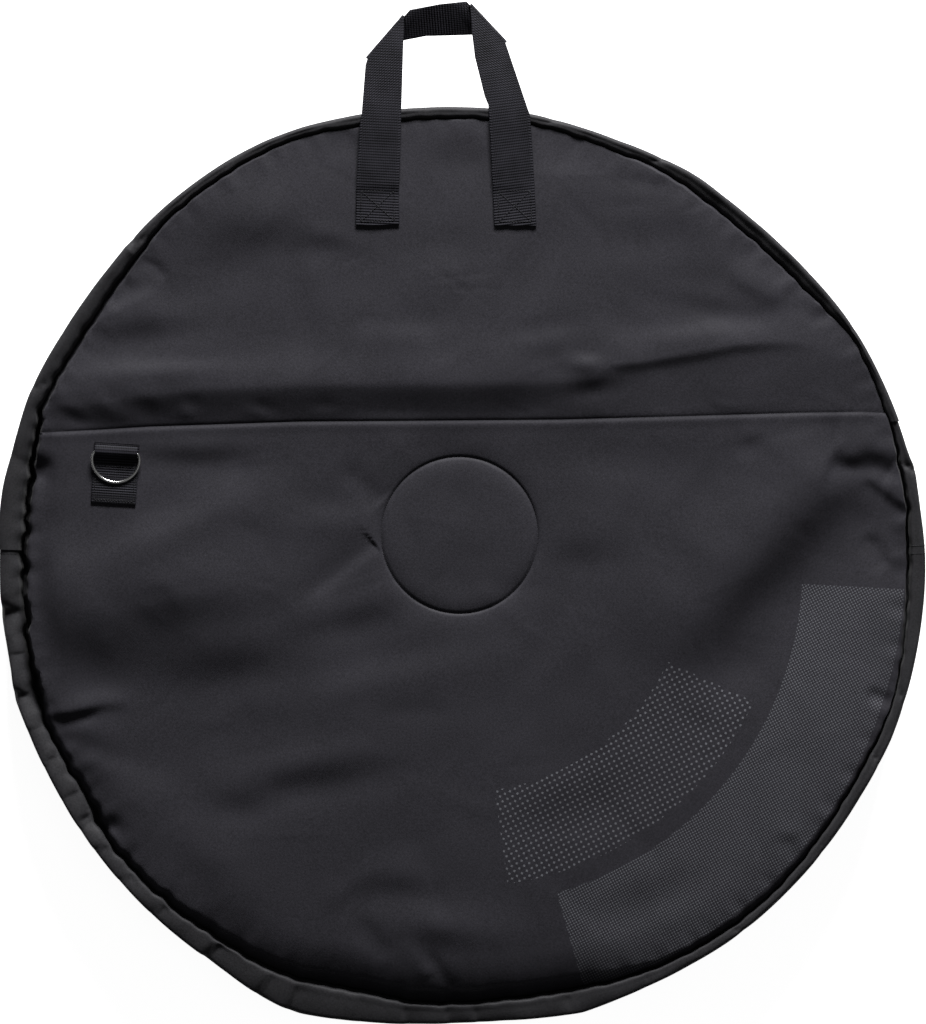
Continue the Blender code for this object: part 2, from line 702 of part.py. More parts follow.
def add_ring(materials, bag):
    """Backing patch, folded loop and the steel D-ring that hangs in it."""
    carrier = add_empty("ring_seat", (RING_X, RING_Y, 0.0))
    carrier.rotation_euler = (0.0, 0.0, RING_TURN)
    carrier.parent = bag
    highest = max(crown(RING_X + sx * PATCH_WIDTH / 2, RING_Y + dy)
                  for sx in (-1, 1) for dy in (PATCH_ABOVE_RING, -PATCH_BELOW_RING))
    patch_low = BAG_DEPTH + highest + GAP
    patch_top = patch_low + LOOP_WALL
    half = PATCH_WIDTH / 2
    patch = box_mesh((-half, -PATCH_BELOW_RING, patch_low), (half, PATCH_ABOVE_RING, patch_top))
    add_object("ring_patch", patch, materials["webbing"], carrier)

    room = RING_WIRE_RADIUS + GAP
    bar_z = patch_top + GAP + LOOP_WALL + room
    outer, inner = loop_section(0.0, bar_z, patch_top + GAP)
    loop = tube_between(outer, inner, -LOOP_WIDTH / 2, LOOP_WIDTH / 2)
    add_object("ring_loop", loop, materials["webbing"], carrier)

    points = [(-RING_HALF_WIDTH, 0.0), (RING_HALF_WIDTH, 0.0)]
    bow = RING_REACH - RING_STRAIGHT
    for index in range(RING_BOW_POINTS):
        angle = math.pi * index / (RING_BOW_POINTS - 1)
        points.append((RING_HALF_WIDTH * math.cos(angle), -RING_STRAIGHT - bow * math.sin(angle)))
    curve = bpy.data.curves.new("d_ring", "CURVE")
    curve.dimensions = "3D"
    spline = curve.splines.new("POLY")
    spline.points.add(len(points) - 1)
    for point, (x, y) in zip(spline.points, points):
        point.co = (x, y, 0.0, 1.0)
    spline.use_cyclic_u = True
    curve.bevel_depth = RING_WIRE_RADIUS
    curve.bevel_resolution = 1
    curve.materials.append(materials["steel"])
    ring = bpy.data.objects.new("d_ring", curve)
    ring.location = (0.0, 0.0, bar_z)
    lowered = bar_z - patch_top - GAP - RING_WIRE_RADIUS
    ring.rotation_euler = (math.asin(lowered / RING_REACH), 0.0, 0.0)
    ring.parent = carrier
    bpy.context.scene.collection.objects.link(ring)


def main():
    clear_scene()
    materials = {
        "shell": make_material("shell_cloth", SHELL_BLACK, 0.72),
        "band": make_material("band_cloth", BAND_BLACK, 0.72),
        "lining": make_material("lining_cloth", LINING_GREY, 0.65),
        "foam": make_material("foam", FOAM_GREY, 0.95),
        "webbing": make_material("webbing", WEBBING_BLACK, 0.70),
        "binding": make_material("binding_tape", BINDING_BLACK, 0.75),
        "tape": make_material("zip_tape", BINDING_BLACK, 0.80),
        "coil": make_material("zip_coil", COIL_BLACK, 0.45),
        "disc": make_material("hub_disc", DISC_BLACK, 0.50),
        "slider": make_material("slider_metal", SLIDER_GREY, 0.40, 0.9),
        "steel": make_material("ring_steel", STEEL, 0.28, 1.0),
    }
    bag = add_empty("bag_centre", BAG_CENTRE)
    fold_origin = (0.0, FOLD_HEIGHT, BAG_DEPTH + crown(0.0, FOLD_HEIGHT))
    fold_top = FOLD_HEIGHT + FOLD_CLEARANCE
    full_turn = 2 * math.pi
    add_back(materials, bag)
    lower = add_front_half(
        "lower", lower_outline, FOLD_HEIGHT,
        lambda r: left_cut_angle(r, FOLD_HEIGHT), lambda r: full_turn + right_cut_angle(r, FOLD_HEIGHT),
        materials, bag, (0.0, 0.0, 0.0))
    disc_high = FRONT_FOAM_LOW + FOAM
    add_hub_pad("front_hub_disc", lower["foam"], disc_high - HUB_DISC_THICKNESS, disc_high,
                crown, materials, bag)
    add_front_half(
        "upper", upper_outline, fold_top,
        lambda r: right_cut_angle(r, fold_top), lambda r: left_cut_angle(r, fold_top),
        materials, bag, fold_origin)
    add_fold_tape(materials, bag)
    add_side_band(materials, bag, fold_origin)
    add_sliders(materials, bag)
    add_handle(materials, bag)
    add_ring(materials, bag)


main()
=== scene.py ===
"""Looks of the padded round bag for one bicycle wheel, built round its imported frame.

The bag lies on its back: +Z is up through its front, +Y towards the carry handle. Shapes are worked
out about the bag's middle, and moved to their place in the frame when their mesh is made.
"""

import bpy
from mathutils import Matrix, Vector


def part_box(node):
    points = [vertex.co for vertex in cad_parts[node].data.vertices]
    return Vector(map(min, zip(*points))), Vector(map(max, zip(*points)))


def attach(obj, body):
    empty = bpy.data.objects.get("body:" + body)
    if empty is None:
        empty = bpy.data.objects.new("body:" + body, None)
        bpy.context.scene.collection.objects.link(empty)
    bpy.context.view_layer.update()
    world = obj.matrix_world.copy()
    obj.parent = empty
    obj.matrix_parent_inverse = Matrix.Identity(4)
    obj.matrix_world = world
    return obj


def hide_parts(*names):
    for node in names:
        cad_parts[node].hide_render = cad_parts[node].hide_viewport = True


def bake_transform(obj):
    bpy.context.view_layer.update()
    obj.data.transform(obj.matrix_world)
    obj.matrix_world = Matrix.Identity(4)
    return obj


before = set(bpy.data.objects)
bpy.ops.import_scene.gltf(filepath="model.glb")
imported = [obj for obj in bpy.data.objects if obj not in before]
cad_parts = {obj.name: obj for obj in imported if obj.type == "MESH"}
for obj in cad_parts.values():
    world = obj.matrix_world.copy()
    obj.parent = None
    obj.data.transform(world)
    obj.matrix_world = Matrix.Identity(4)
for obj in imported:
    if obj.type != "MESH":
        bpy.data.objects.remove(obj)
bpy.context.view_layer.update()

import functools
import math

import bpy
import numpy as np
from mathutils import Vector

MM = 0.001

# Front view: one step of its measuring grid, the bag's middle on it, and its width and height
STEP = 0.000844
MIDDLE_U, MIDDLE_V = 463.0, 566.0
VIEW_U, VIEW_V = 926, 1024

# Sizes shared with the frame, in metres: the depth at the seams, the crown's rise, the seams' radius, the
# places up the bag of the fold and of the band's joins, the zip's height, width and radius, the height of
# the back seam, a middling radius of the band, and the thickness of a cloth
BACK_LOW, BACK_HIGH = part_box("back_panel")
BAG_Y = (BACK_LOW.y + BACK_HIGH.y) / 2
DEPTH = 0.064
CROWN = 0.006
SEAM_RADIUS = 0.376
FOLD_Y = 0.122
JOIN_Y = 0.014
ZIP_Z = 0.032
ZIP_SLOT = 0.012
ZIP_RADIUS = 0.389
BACK_SEAM = 0.0068
BAND_RADIUS = 0.38
CLOTH = 0.0010

# How far the band's outer edge stands out past the outline at the bottom, in metres: the camera sees
# that edge lower down, and so smaller
EDGE_OUT = 0.0018

# Rim of the front view: angle in degrees, seam valley and outline in grid steps
RIM = np.array([
    (0, 446, 461), (5, 446.5, 460), (7, 449, 459.5), (10, 449, 460), (12.5, 448, 461.5),
    (13.5, 447, 459), (15, 450, 457.8), (20, 450, 457), (25, 451, 456.2), (30, 452, 455.8),
    (32, 450, 455.4), (35, 445, 454), (40, 440, 451.5), (45, 438, 450), (50, 437, 450),
    (55, 438.5, 450.7), (58, 440, 452.5), (60, 441, 453), (65, 443, 452), (70, 442, 451.2),
    (75, 445, 452.6), (80, 448, 455), (85, 449, 456.5), (90, 449.5, 457.3), (95, 450.5, 458.5),
    (100, 452, 460.5), (105, 455, 462.5), (110, 460, 465.5), (115, 461, 467), (120, 460, 467),
    (125, 459, 466), (130, 458, 465), (133, 456, 464), (136, 451.5, 462.5), (140, 450, 461),
    (145, 447, 460.5), (150, 448, 461), (155, 450, 463), (158, 453, 464.5), (160, 453, 464),
    (163, 450, 463), (165, 449, 463), (167, 447, 463.5), (170, 445, 464.5), (175, 443.5, 464),
    (178, 444, 462), (182, 443, 462), (185, 442.5, 462.5), (186.5, 443, 463.5), (190, 445, 462.5),
    (193, 446, 463), (196.8, 448, 466.8), (200, 448, 465), (205, 446, 463.5), (209, 443.5, 463),
    (213, 443.5, 463.5), (215, 449, 463.5), (220, 450, 464), (225, 449.5, 464.5), (230, 449, 465.5),
    (235, 447, 466.5), (237, 446.5, 467), (240, 447.5, 469), (245, 447, 474), (248, 445.5, 475.5),
    (250, 443, 475), (255, 438.5, 468), (260, 438, 462.5), (263, 441, 460), (265, 440, 458),
    (270, 438.5, 455), (275, 436.5, 454.5), (280, 437, 457), (285, 438.5, 460.5), (290, 442.5, 458),
    (295, 445, 457), (300, 447, 457), (305, 449, 458), (310, 450, 458), (315, 450, 457.5),
    (320, 448.5, 457.5), (325, 447.5, 457.3), (330, 447, 457.5), (335, 448, 459),
    (338, 449.5, 460), (342, 451, 460), (345, 450, 460), (350, 447.5, 460), (355, 446, 460.5)])

# Edge of the front by angle: how far it falls to the seam in mm, over which width in grid steps; the
# band's height over the seam in mm just outside it, at its middle place and at its outer edge; that
# middle place as a share; the soft fall before the edge in mm; and the width in grid steps and depth in
# mm of the slot along the seam
RIM_FORM = np.array([
    (0, 5, 3, 3.4, 5.0, 5.2, 0.45, 1.5, 4.0, 18), (12, 5, 2.5, 3.4, 5.0, 5.3, 0.45, 1.0, 2.8, 12),
    (20, 5, 2.5, 3.4, 4.9, 5.3, 0.45, 1.0, 2.4, 7), (30, 5, 2.5, 3.4, 5.0, 5.6, 0.45, 1.0, 2.2, 6),
    (38, 6, 3, 3.1, 5.2, 7.0, 0.45, 2.2, 3.0, 6), (56, 6, 3, 3.1, 5.2, 7.0, 0.45, 2.2, 3.0, 6),
    (62, 5, 2.5, 3.6, 5.4, 5.9, 0.5, 1.0, 2.2, 6), (75, 2.5, 1.2, 3.2, 4.05, 4.1, 0.5, 0.0, 2.6, 6),
    (118, 2.5, 1.2, 3.2, 4.05, 4.1, 0.5, 0.0, 2.6, 6), (128, 5, 2, 5.2, 6.3, 6.5, 0.5, 0.0, 4.0, 6),
    (145, 8, 2.5, 6.6, 9.6, 10.0, 0.45, 0.3, 7.0, 7), (158, 9, 3, 7.4, 10.4, 10.8, 0.45, 0.5, 7.0, 10),
    (163.5, 11, 7, 8.0, 11.6, 12.0, 0.45, 0.8, 8.0, 20), (166, 13, 10, 8.0, 13.2, 13.0, 0.45, 1.0, 8.5, 24),
    (172, 14, 13, 8.0, 13.2, 13.0, 0.45, 1.0, 8.5, 26), (181, 15, 12, 8.0, 13.0, 12.5, 0.45, 1.0, 8.0, 26),
    (183.5, 14, 8, 6.0, 11.5, 11.5, 0.45, 1.0, 6.0, 14), (186, 16, 9, 5.0, 11.5, 11.5, 0.45, 1.0, 9.0, 14),
    (188.5, 14, 8, 3.5, 10.5, 11.0, 0.45, 1.0, 6.0, 14), (193, 14, 8, 3.5, 10.5, 11.0, 0.45, 1.0, 6.0, 14),
    (196.2, 17, 14, 5.0, 12.0, 12.5, 0.45, 1.0, 12.0, 12), (199, 13, 9, 4.5, 9.5, 10.0, 0.45, 3.0, 3.5, 8),
    (207, 12, 10, 6.0, 9.4, 9.6, 0.4, 5.0, 3.2, 6), (212, 13, 9, 6.5, 9.8, 10.0, 0.4, 5.5, 3.0, 6),
    (214.5, 16, 13, 8.0, 11.5, 12.0, 0.4, 5.0, 10.0, 7), (217, 13, 8, 7.5, 10.2, 10.2, 0.35, 4.5, 3.0, 6),
    (226, 13, 9, 8.2, 10.0, 9.7, 0.35, 4.0, 3.0, 6), (233, 16, 12, 9.4, 10.6, 9.2, 0.25, 6.0, 3.0, 6),
    (240, 17, 13, 9.6, 11.0, 9.5, 0.25, 8.0, 3.0, 6), (250, 20, 15, 10.5, 12.4, 10.4, 0.35, 10.5, 2.5, 6),
    (265, 21, 18, 11.6, 12.2, 10.8, 0.4, 12.0, 2.5, 6), (275, 21, 18, 11.6, 12.2, 10.8, 0.45, 12.0, 2.5, 6),
    (285, 20, 16, 10.8, 12.0, 10.8, 0.35, 10.5, 2.5, 6), (297, 13, 7, 8.0, 9.2, 8.5, 0.45, 3.5, 2.4, 6),
    (310, 10, 7, 6.2, 7.6, 6.9, 0.5, 3.5, 2.2, 6), (320, 7.5, 6.5, 5.6, 6.6, 5.7, 0.5, 2.8, 2.2, 6),
    (330, 7, 5, 5.2, 6.2, 5.6, 0.5, 2.0, 2.0, 6), (340, 6, 3.5, 4.8, 5.8, 5.5, 0.5, 1.5, 2.0, 6),
    (352, 5, 3, 4.0, 5.2, 5.3, 0.45, 1.5, 2.8, 9)])

# Hem of the lower front panel along the fold seam, in grid steps
HEM = np.array([(20, 434), (38, 433), (100, 430), (150, 427), (300, 422), (440, 421), (560, 420),
                (700, 416), (800, 413), (860, 412), (884, 413), (905, 412)])

# How far the upper front panel slopes down to the hem, in mm, and over how many grid steps, across
# the front
HEM_DIP = np.array([(20, 1.5, 20), (60, 3.0, 24), (100, 4.6, 26), (150, 6.0, 30), (200, 6.6, 34),
                    (300, 6.8, 36), (440, 6.6, 36), (540, 6.4, 36), (600, 5.8, 40), (660, 4.6, 54),
                    (740, 4.2, 64), (800, 3.6, 64), (860, 2.2, 50), (900, 1.2, 30)])

# Folds of the front cloth: line in grid steps, rise in mm, widths above and below the line in
# grid steps, and how far in from each end the fold is full
UPPER_FOLDS = (
    (((44, 393), (150, 386), (300, 384), (440, 383), (540, 378), (620, 368)), 2.4, 32, 22, 0.03, 0.22),
    (((590, 373), (612, 364), (640, 361), (700, 351), (735, 344), (775, 341), (835, 344)), 2.6, 30, 8,
     0.14, 0.4),
    (((136, 258), (158, 268), (168, 281)), -1.1, 5, 8, 0.3, 0.3),
    (((88, 332), (101, 322), (135, 305), (172, 286)), 2.2, 10, 20, 0.25, 0.4),
    (((722, 268), (765, 292), (800, 306)), 2.0, 20, 12, 0.4, 0.4),
)
LOWER_FOLDS = (
    (((36, 586), (120, 582), (200, 572), (262, 562)), 3.4, 46, 50, 0.1, 0.4),
    (((374, 541), (350, 560), (320, 585), (288, 607)), -1.7, 15, 9, 0.02, 0.5),
    (((335, 462), (360, 482), (383, 503)), -1.2, 12, 14, 0.4, 0.1),
    (((52, 716), (80, 708), (105, 702), (126, 702), (142, 714)), 2.2, 13, 7, 0.15, 0.5),
    (((44, 721), (70, 719), (90, 715), (106, 708)), -2.0, 5, 9, 0.02, 0.35),
    (((16, 466), (36, 467), (60, 470)), -6.5, 9, 18, 0.02, 0.55),
    (((352, 914), (368, 930), (380, 945), (390, 962)), -1.1, 9, 14, 0.4, 0.3),
    (((398, 936), (414, 954), (430, 978)), 0.8, 8, 9, 0.4, 0.1),
    (((424, 948), (438, 966), (451, 988)), -1.5, 7, 9, 0.4, 0.02),
    (((862, 692), (878, 696), (895, 701)), -2.0, 7, 8, 0.4, 0.02),
)

# Swells of the front cloth: place and half sizes in grid steps, turn in degrees, rise in mm
UPPER_SWELLS = ((586, 365, 17, 9, 0, 2.2), (330, 320, 40, 26, 0, 0.8))
LOWER_SWELLS = ((390, 882, 24, 16, 0, -1.0), (250, 505, 80, 30, 0, 1.0), (620, 520, 70, 50, 0, 0.8),
                (113, 826, 12, 9, 30, -2.5))

# Slopes of the front cloth: place and half sizes in grid steps, turn in degrees, and the rise in mm
# of a patch that leans down towards the bottom, or up where the rise is negative
UPPER_SLOPES = (
    (210, 256, 120, 80, -8, 5.6), (700, 250, 110, 80, 20, 3.0),
    (250, 238, 54, 34, -10, 4.0), (150, 330, 46, 20, -8, 3.6), (322, 243, 20, 14, 0, 1.3),
    (306, 300, 12, 44, 0, 1.4), (713, 305, 50, 14, 10, 1.3), (815, 308, 30, 12, 20, 1.3),
    (648, 178, 24, 12, 10, 1.5), (463, 148, 36, 26, 0, 2.0), (347, 135, 20, 18, 0, 1.4),
    (160, 366, 62, 12, -2, -1.6), (542, 336, 40, 14, -10, -1.4), (690, 330, 60, 13, -6, -1.0),
    (570, 165, 30, 26, 0, -1.3), (440, 262, 40, 24, 0, -1.4), (190, 250, 20, 40, 30, -1.8),
    (74, 413, 18, 8, 25, 1.3), (113, 404, 15, 11, 30, -1.8), (150, 404, 16, 12, 30, 1.2),
    (190, 408, 9, 10, 30, -1.3), (262, 411, 12, 8, 20, -1.0), (325, 409, 14, 8, 0, -0.6),
    (592, 384, 26, 12, -10, 2.4), (690, 225, 30, 22, 20, 1.1), (745, 245, 22, 18, 30, 1.1),
    (640, 255, 50, 24, 0, -1.3), (400, 330, 60, 16, 0, -1.0))
LOWER_SLOPES = (
    (104, 652, 46, 40, 4, 3.0), (708, 700, 34, 46, -12, 3.6), (728, 655, 40, 30, -25, 2.6),
    (232, 664, 62, 26, -8, 2.4), (305, 776, 74, 22, -10, 4.0),
    (245, 802, 28, 18, 0, 2.0), (350, 617, 56, 20, -14, 2.6), (196, 606, 100, 26, -6, 1.6),
    (394, 886, 38, 18, 0, 2.4), (438, 934, 28, 18, 0, 2.0), (192, 454, 52, 15, 0, 2.2),
    (168, 520, 90, 24, -25, -2.8), (392, 668, 92, 24, -12, -2.2), (88, 754, 34, 13, 20, -1.8),
    (330, 512, 36, 20, 0, -1.8), (789, 837, 12, 9, 0, 1.2), (882, 630, 20, 50, 0, 2.4),
    (748, 441, 12, 12, 0, 1.2), (580, 552, 28, 20, 0, 1.4), (470, 945, 90, 24, 0, 2.0),
    (600, 470, 60, 26, 10, -1.2), (560, 800, 60, 26, -20, 1.4),
    (200, 866, 60, 26, 42, 2.4), (850, 463, 18, 8, 0, 1.3), (150, 780, 40, 24, 20, -1.4),
    (640, 890, 60, 22, -20, 1.4))

# Benches of the lower front cloth: line in grid steps, half the step down across it in mm, width in grid
# steps, and how far in from each end the step is full
LOWER_BENCHES = (
    (((656, 693), (872, 462)), 8.8, 28, 0.28, 0.18),
    (((36, 640), (340, 650)), 6.0, 46, 0.10, 0.40),
    (((828, 453), (850, 459), (868, 456), (894, 464)), 3.0, 9, 0.12, 0.05),
    (((862, 477), (884, 494), (908, 511)), 1.3, 4.5, 0.2, 0.02),
    (((860, 533), (878, 541), (892, 568)), 1.2, 6, 0.2, 0.2),
)

# Creases across the side band: angle, rise in mm, and widths before and after it in degrees
BAND_CREASES = np.array([
    (12.6, -2.4, 0.5, 0.8), (31.5, -1.6, 0.9, 1.2), (50.0, -1.5, 2.0, 2.5), (64.6, -1.8, 0.6, 0.8),
    (79.0, -1.2, 0.8, 1.0), (136.6, 1.6, 0.6, 0.8), (134.6, -1.2, 0.5, 0.7), (156.6, -1.6, 0.8, 1.1),
    (166.5, -1.2, 1.2, 1.5), (185.6, -4.4, 0.5, 5.0), (191.2, -1.6, 0.3, 3.5), (196.4, -4.4, 0.45, 4.2),
    (200.8, -1.0, 0.3, 3.0), (205.2, -1.9, 0.4, 4.4), (210.3, -1.5, 0.35, 3.4), (213.8, -3.4, 0.5, 1.6),
    (218.2, -1.5, 0.4, 4.0), (223.0, -0.9, 0.35, 2.4), (228.8, -1.3, 0.4, 3.6), (237.2, -2.8, 0.4, 3.2),
    (245.0, -1.3, 0.4, 2.4), (248.6, -2.4, 0.6, 3.0), (257.0, -1.4, 0.6, 2.0), (262.6, -1.6, 0.6, 2.0),
    (268.0, -1.3, 0.6, 1.2), (271.6, -1.6, 0.5, 1.2), (283.5, -1.4, 0.9, 1.2), (294.0, -1.0, 0.8, 1.0),
    (307.0, -1.2, 0.7, 0.9), (322.0, -0.9, 0.9, 1.2), (335.0, -1.6, 0.6, 0.8), (343.5, -1.4, 0.6, 0.8)])

# Hub pad: place and radius of its stitched ring in grid steps, and its place in metres
HUB_U, HUB_V, HUB_R = 459.5, 535.0, 78.0
HUB = ((HUB_U - MIDDLE_U) * STEP, (MIDDLE_V - HUB_V) * STEP)

# Printed bands of lozenges: inner and outer radius, bearings in degrees, pitch, size of a lozenge
# in its cell, colour; and the turn of their cells
PRINTED_BANDS = ((0.286, 0.372, -74.0, -3.0, 0.0023, 0.36, (0.105, 0.108, 0.120)),
                 (0.190, 0.270, -82.0, -25.0, 0.0047, 0.26, (0.115, 0.117, 0.130)))
PRINT_TURN = math.radians(28.0)

# Thickness of the webbing and distance between its ribs
WEB_THICK = 0.0018
RIB = 0.0023

# Name of the map that holds the run along and across the cloth
CLOTH_RUN = "cloth_run"


# ---------------------------------------------------------------- points, faces, meshes

def seen(u, v):
    """Place about the bag's middle, in metres, of a point of the front view."""
    return (np.asarray(u, float) - MIDDLE_U) * STEP, (MIDDLE_V - np.asarray(v, float)) * STEP


def polar(radius, angle):
    """Places about the bag's middle at radii and at angles in degrees."""
    a = np.radians(angle)
    return np.stack([radius * np.cos(a), radius * np.sin(a)], -1)


def lifted(places, height):
    """Places with their height as a third part."""
    return np.concatenate([places, height[..., None]], -1)


def walked(line, share):
    """Points at shares of the length of a broken line, and that length."""
    line = np.asarray(line, float)
    run = np.concatenate([[0], np.cumsum(np.hypot(*np.diff(line, axis=0).T))])
    return np.stack([np.interp(share * run[-1], run, line[:, k]) for k in range(2)], -1), run[-1]


def flat_map(along, across):
    """Map of a grid of points: the place of each along and across the cloth."""
    return np.stack(np.broadcast_arrays(along, across), -1).reshape(-1, 2)


def grid_faces(rows, cols, wrap=False):
    """Four-cornered faces between neighbouring points of a grid, closed across its columns if asked."""
    row = np.arange(rows - 1)[:, None] * cols
    col = np.arange(cols if wrap else cols - 1)[None, :]
    after = (col + 1) % cols
    return np.stack([row + col, row + after, row + cols + after, row + cols + col], -1).reshape(-1, 4)


def slab(outer, inner, along, across):
    """Closed thin body between two grids of one size: both grids, a wall along their borders, and the
    map of both."""
    rows, cols = outer.shape[:2]
    count = rows * cols
    top = grid_faces(rows, cols)
    index = np.arange(count).reshape(rows, cols)
    borders = ((index[0, 1:], index[0, :-1]), (index[-1, :-1], index[-1, 1:]),
               (index[:-1, 0], index[1:, 0]), (index[1:, -1], index[:-1, -1]))
    walls = [np.stack([a, b, b + count, a + count], -1) for a, b in borders]
    return (np.concatenate([outer.reshape(-1, 3), inner.reshape(-1, 3)]),
            [np.concatenate([top, top[:, ::-1] + count, *walls])], np.tile(flat_map(along, across), (2, 1)))


def lens(rings, start, end):
    """Closed body from a first pole through rings of points to a last pole."""
    rows, cols = rings.shape[:2]
    count = rows * cols
    turn = np.arange(cols)
    after = (turn + 1) % cols
    fans = [np.stack([after, turn, np.full(cols, count)], -1),
            np.stack([turn + count - cols, after + count - cols, np.full(cols, count + 1)], -1)]
    points = np.concatenate([rings.reshape(-1, 3), [start], [end]])
    return points, [grid_faces(rows, cols, True), np.concatenate(fans)]


def tube(sections, along, across):
    """Closed body through closed sections, capped at both ends, and its map."""
    middle = sections.mean(1)
    flat = flat_map(along, across)
    return *lens(sections, middle[0], middle[-1]), np.concatenate([flat, flat[:2]])


def ring_tube(sections):
    """Closed ring through closed sections, the last joined to the first."""
    rows, cols = sections.shape[:2]
    return sections.reshape(-1, 3), [grid_faces(rows + 1, cols, True) % (rows * cols)]


def merged(bodies):
    """Several bodies as one: their points, their faces and, if they have them, their maps."""
    starts = np.cumsum([0] + [len(body[0]) for body in bodies])
    faces = [part + start for body, start in zip(bodies, starts) for part in body[1]]
    points, *maps = (np.concatenate([body[k] for body in bodies]) for k in range(0, len(bodies[0]), 2))
    return points, faces, *maps


def outward(points, faces):
    """The faces, turned round if the volume they close comes out negative."""
    volume = 0.0
    for part in faces:
        a = points[part[:, 0]]
        for k in range(1, part.shape[1] - 1):
            volume += np.einsum("ij,ij->", a, np.cross(points[part[:, k]], points[part[:, k + 1]]))
    return faces if volume > 0 else [part[:, ::-1] for part in faces]


def make(name, shape, finish, rides, *replaced, sharp=None, fill=None, slot=None):
    """A mesh piece from points, faces and perhaps a map, about the bag's middle. rides is a body, or the two
    bodies and the two places of a bend between them; then come the nodes that it replaces. fill is not used."""
    points, faces, *maps = shape
    faces = outward(points, faces)
    mesh = bpy.data.meshes.new(name)
    mesh.vertices.add(len(points))
    mesh.vertices.foreach_set("co", (points + (0.0, BAG_Y, 0.0)).astype(np.float32).ravel())
    corners = np.concatenate([part.ravel() for part in faces])
    sizes = np.concatenate([np.full(len(part), part.shape[1]) for part in faces])
    mesh.loops.add(len(corners))
    mesh.loops.foreach_set("vertex_index", corners.astype(np.int32))
    mesh.polygons.add(len(sizes))
    mesh.polygons.foreach_set("loop_start", (np.cumsum(sizes) - sizes).astype(np.int32))
    mesh.update(calc_edges=True)
    if maps:
        mesh.uv_layers.new(name=CLOTH_RUN).data.foreach_set("uv", maps[0][corners].astype(np.float32).ravel())
    mesh.shade_smooth()
    if sharp is not None:
        mesh.set_sharp_from_angle(angle=math.radians(sharp))
    material, usual_slot = FINISHES[finish]
    mesh.materials.append(material)
    piece = bpy.data.objects.new(name, mesh)
    bpy.context.scene.collection.objects.link(piece)
    if isinstance(rides, str):
        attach(piece, rides)
    else:
        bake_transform(piece)
    if replaced:
        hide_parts(*replaced)


# ---------------------------------------------------------------- shader sums

class Value:
    """A number or colour that a node puts out. Sums on it add Math nodes to its finish."""

    def __init__(self, finish, socket):
        self.finish, self.socket = finish, socket

    def math(self, operation, *others):
        """The outcome of a Math node on the value and the others."""
        return self.finish.add("ShaderNodeMath", {"operation": operation}, self, *others)

    def __rsub__(self, other):
        """The other less the value."""
        return (self * -1.0) + other

    def wrap(self, size):
        """Distance from the middle of the cell that the value lies in, cells one size apart."""
        return (self * (1.0 / size)).math("FRACT") - 0.5

    def wave(self, length):
        """A sine of the value, from 0 to 1, of the given wavelength."""
        return (self * (2 * math.pi / length)).sin() * 0.5 + 0.5


# The sums that expressions use, and the operation of the Math node for each
for method, node_sum in (("__add__", "ADD"), ("__radd__", "ADD"), ("__sub__", "SUBTRACT"),
                         ("__mul__", "MULTIPLY"), ("__rmul__", "MULTIPLY"), ("__lt__", "LESS_THAN"),
                         ("__gt__", "GREATER_THAN"), ("__abs__", "ABSOLUTE"), ("sin", "SINE"),
                         ("power", "POWER")):
    setattr(Value, method, functools.partialmethod(Value.math, node_sum))


class Finish:
    """A procedural material: its shader's constant sockets, and the nodes added to it."""

    def __init__(self, name, **constants):
        self.material = bpy.data.materials.new(name)
        self.material.use_nodes = True
        self.tree = self.material.node_tree
        self.shader = self.tree.nodes["Principled BSDF"]
        self.paint(**constants)

    def add(self, kind, settings=None, *values, out=0, **named):
        """Adds a node. Its settings are set first, then its sockets by their order or by their name."""
        node = self.tree.nodes.new(kind)
        for key, value in (settings or {}).items():
            setattr(node, key, value)
        for key, value in (*enumerate(values), *named.items()):
            self.join(value, node.inputs[key])
        return Value(self, node.outputs[out])

    def join(self, value, socket):
        """Links a value to a socket, or sets a plain number or colour on it."""
        if isinstance(value, Value):
            self.tree.links.new(value.socket, socket)
        else:
            socket.default_value = value

    def paint(self, **values):
        """Joins values to the shader's sockets, or sets them there."""
        for socket, value in values.items():
            self.join(value, self.shader.inputs[socket.replace("_", " ")])

    def parts(self, spot, count):
        """The first parts of a place, as numbers."""
        return [self.add("ShaderNodeSeparateXYZ", None, spot, out=k) for k in range(count)]

    def place(self, count=3):
        """Place on the piece in metres: its first parts."""
        return self.parts(self.add("ShaderNodeTexCoord", out="Object"), count)

    def run(self):
        """Place along and across the cloth, in metres, from the piece's own map."""
        return self.parts(self.add("ShaderNodeUVMap", {"uv_map": CLOTH_RUN}), 2)

    def noise(self, scale, detail=3.0, rough=0.6, stretch=None):
        """Fractal noise about the piece, from 0 to 1."""
        spot = self.add("ShaderNodeTexCoord", out="Object")
        if stretch:
            spot = self.add("ShaderNodeMapping", None, spot, Scale=stretch)
        return self.add("ShaderNodeTexNoise", {"normalize": True}, Vector=spot, Scale=scale,
                        Detail=detail, Roughness=rough)

    def mix(self, share, first, second):
        """One colour turning into another as share goes from 0 to 1."""
        node = self.tree.nodes.new("ShaderNodeMix")
        node.data_type, node.clamp_factor = "RGBA", True
        ends = [value if isinstance(value, Value) else (*value, 1.0) for value in (first, second)]
        for value, place in zip((share, *ends), (0, 6, 7)):
            self.join(value, node.inputs[place])
        return Value(self, node.outputs[2])

    def bump(self, height, distance):
        """Joins a relief to the shader, as high as the distance where its height is 1."""
        self.paint(Normal=self.add("ShaderNodeBump", None, Height=height, Distance=distance))


def tinted(colour, factor):
    """A colour made darker or lighter."""
    return tuple(min(1.0, c * factor) for c in colour)


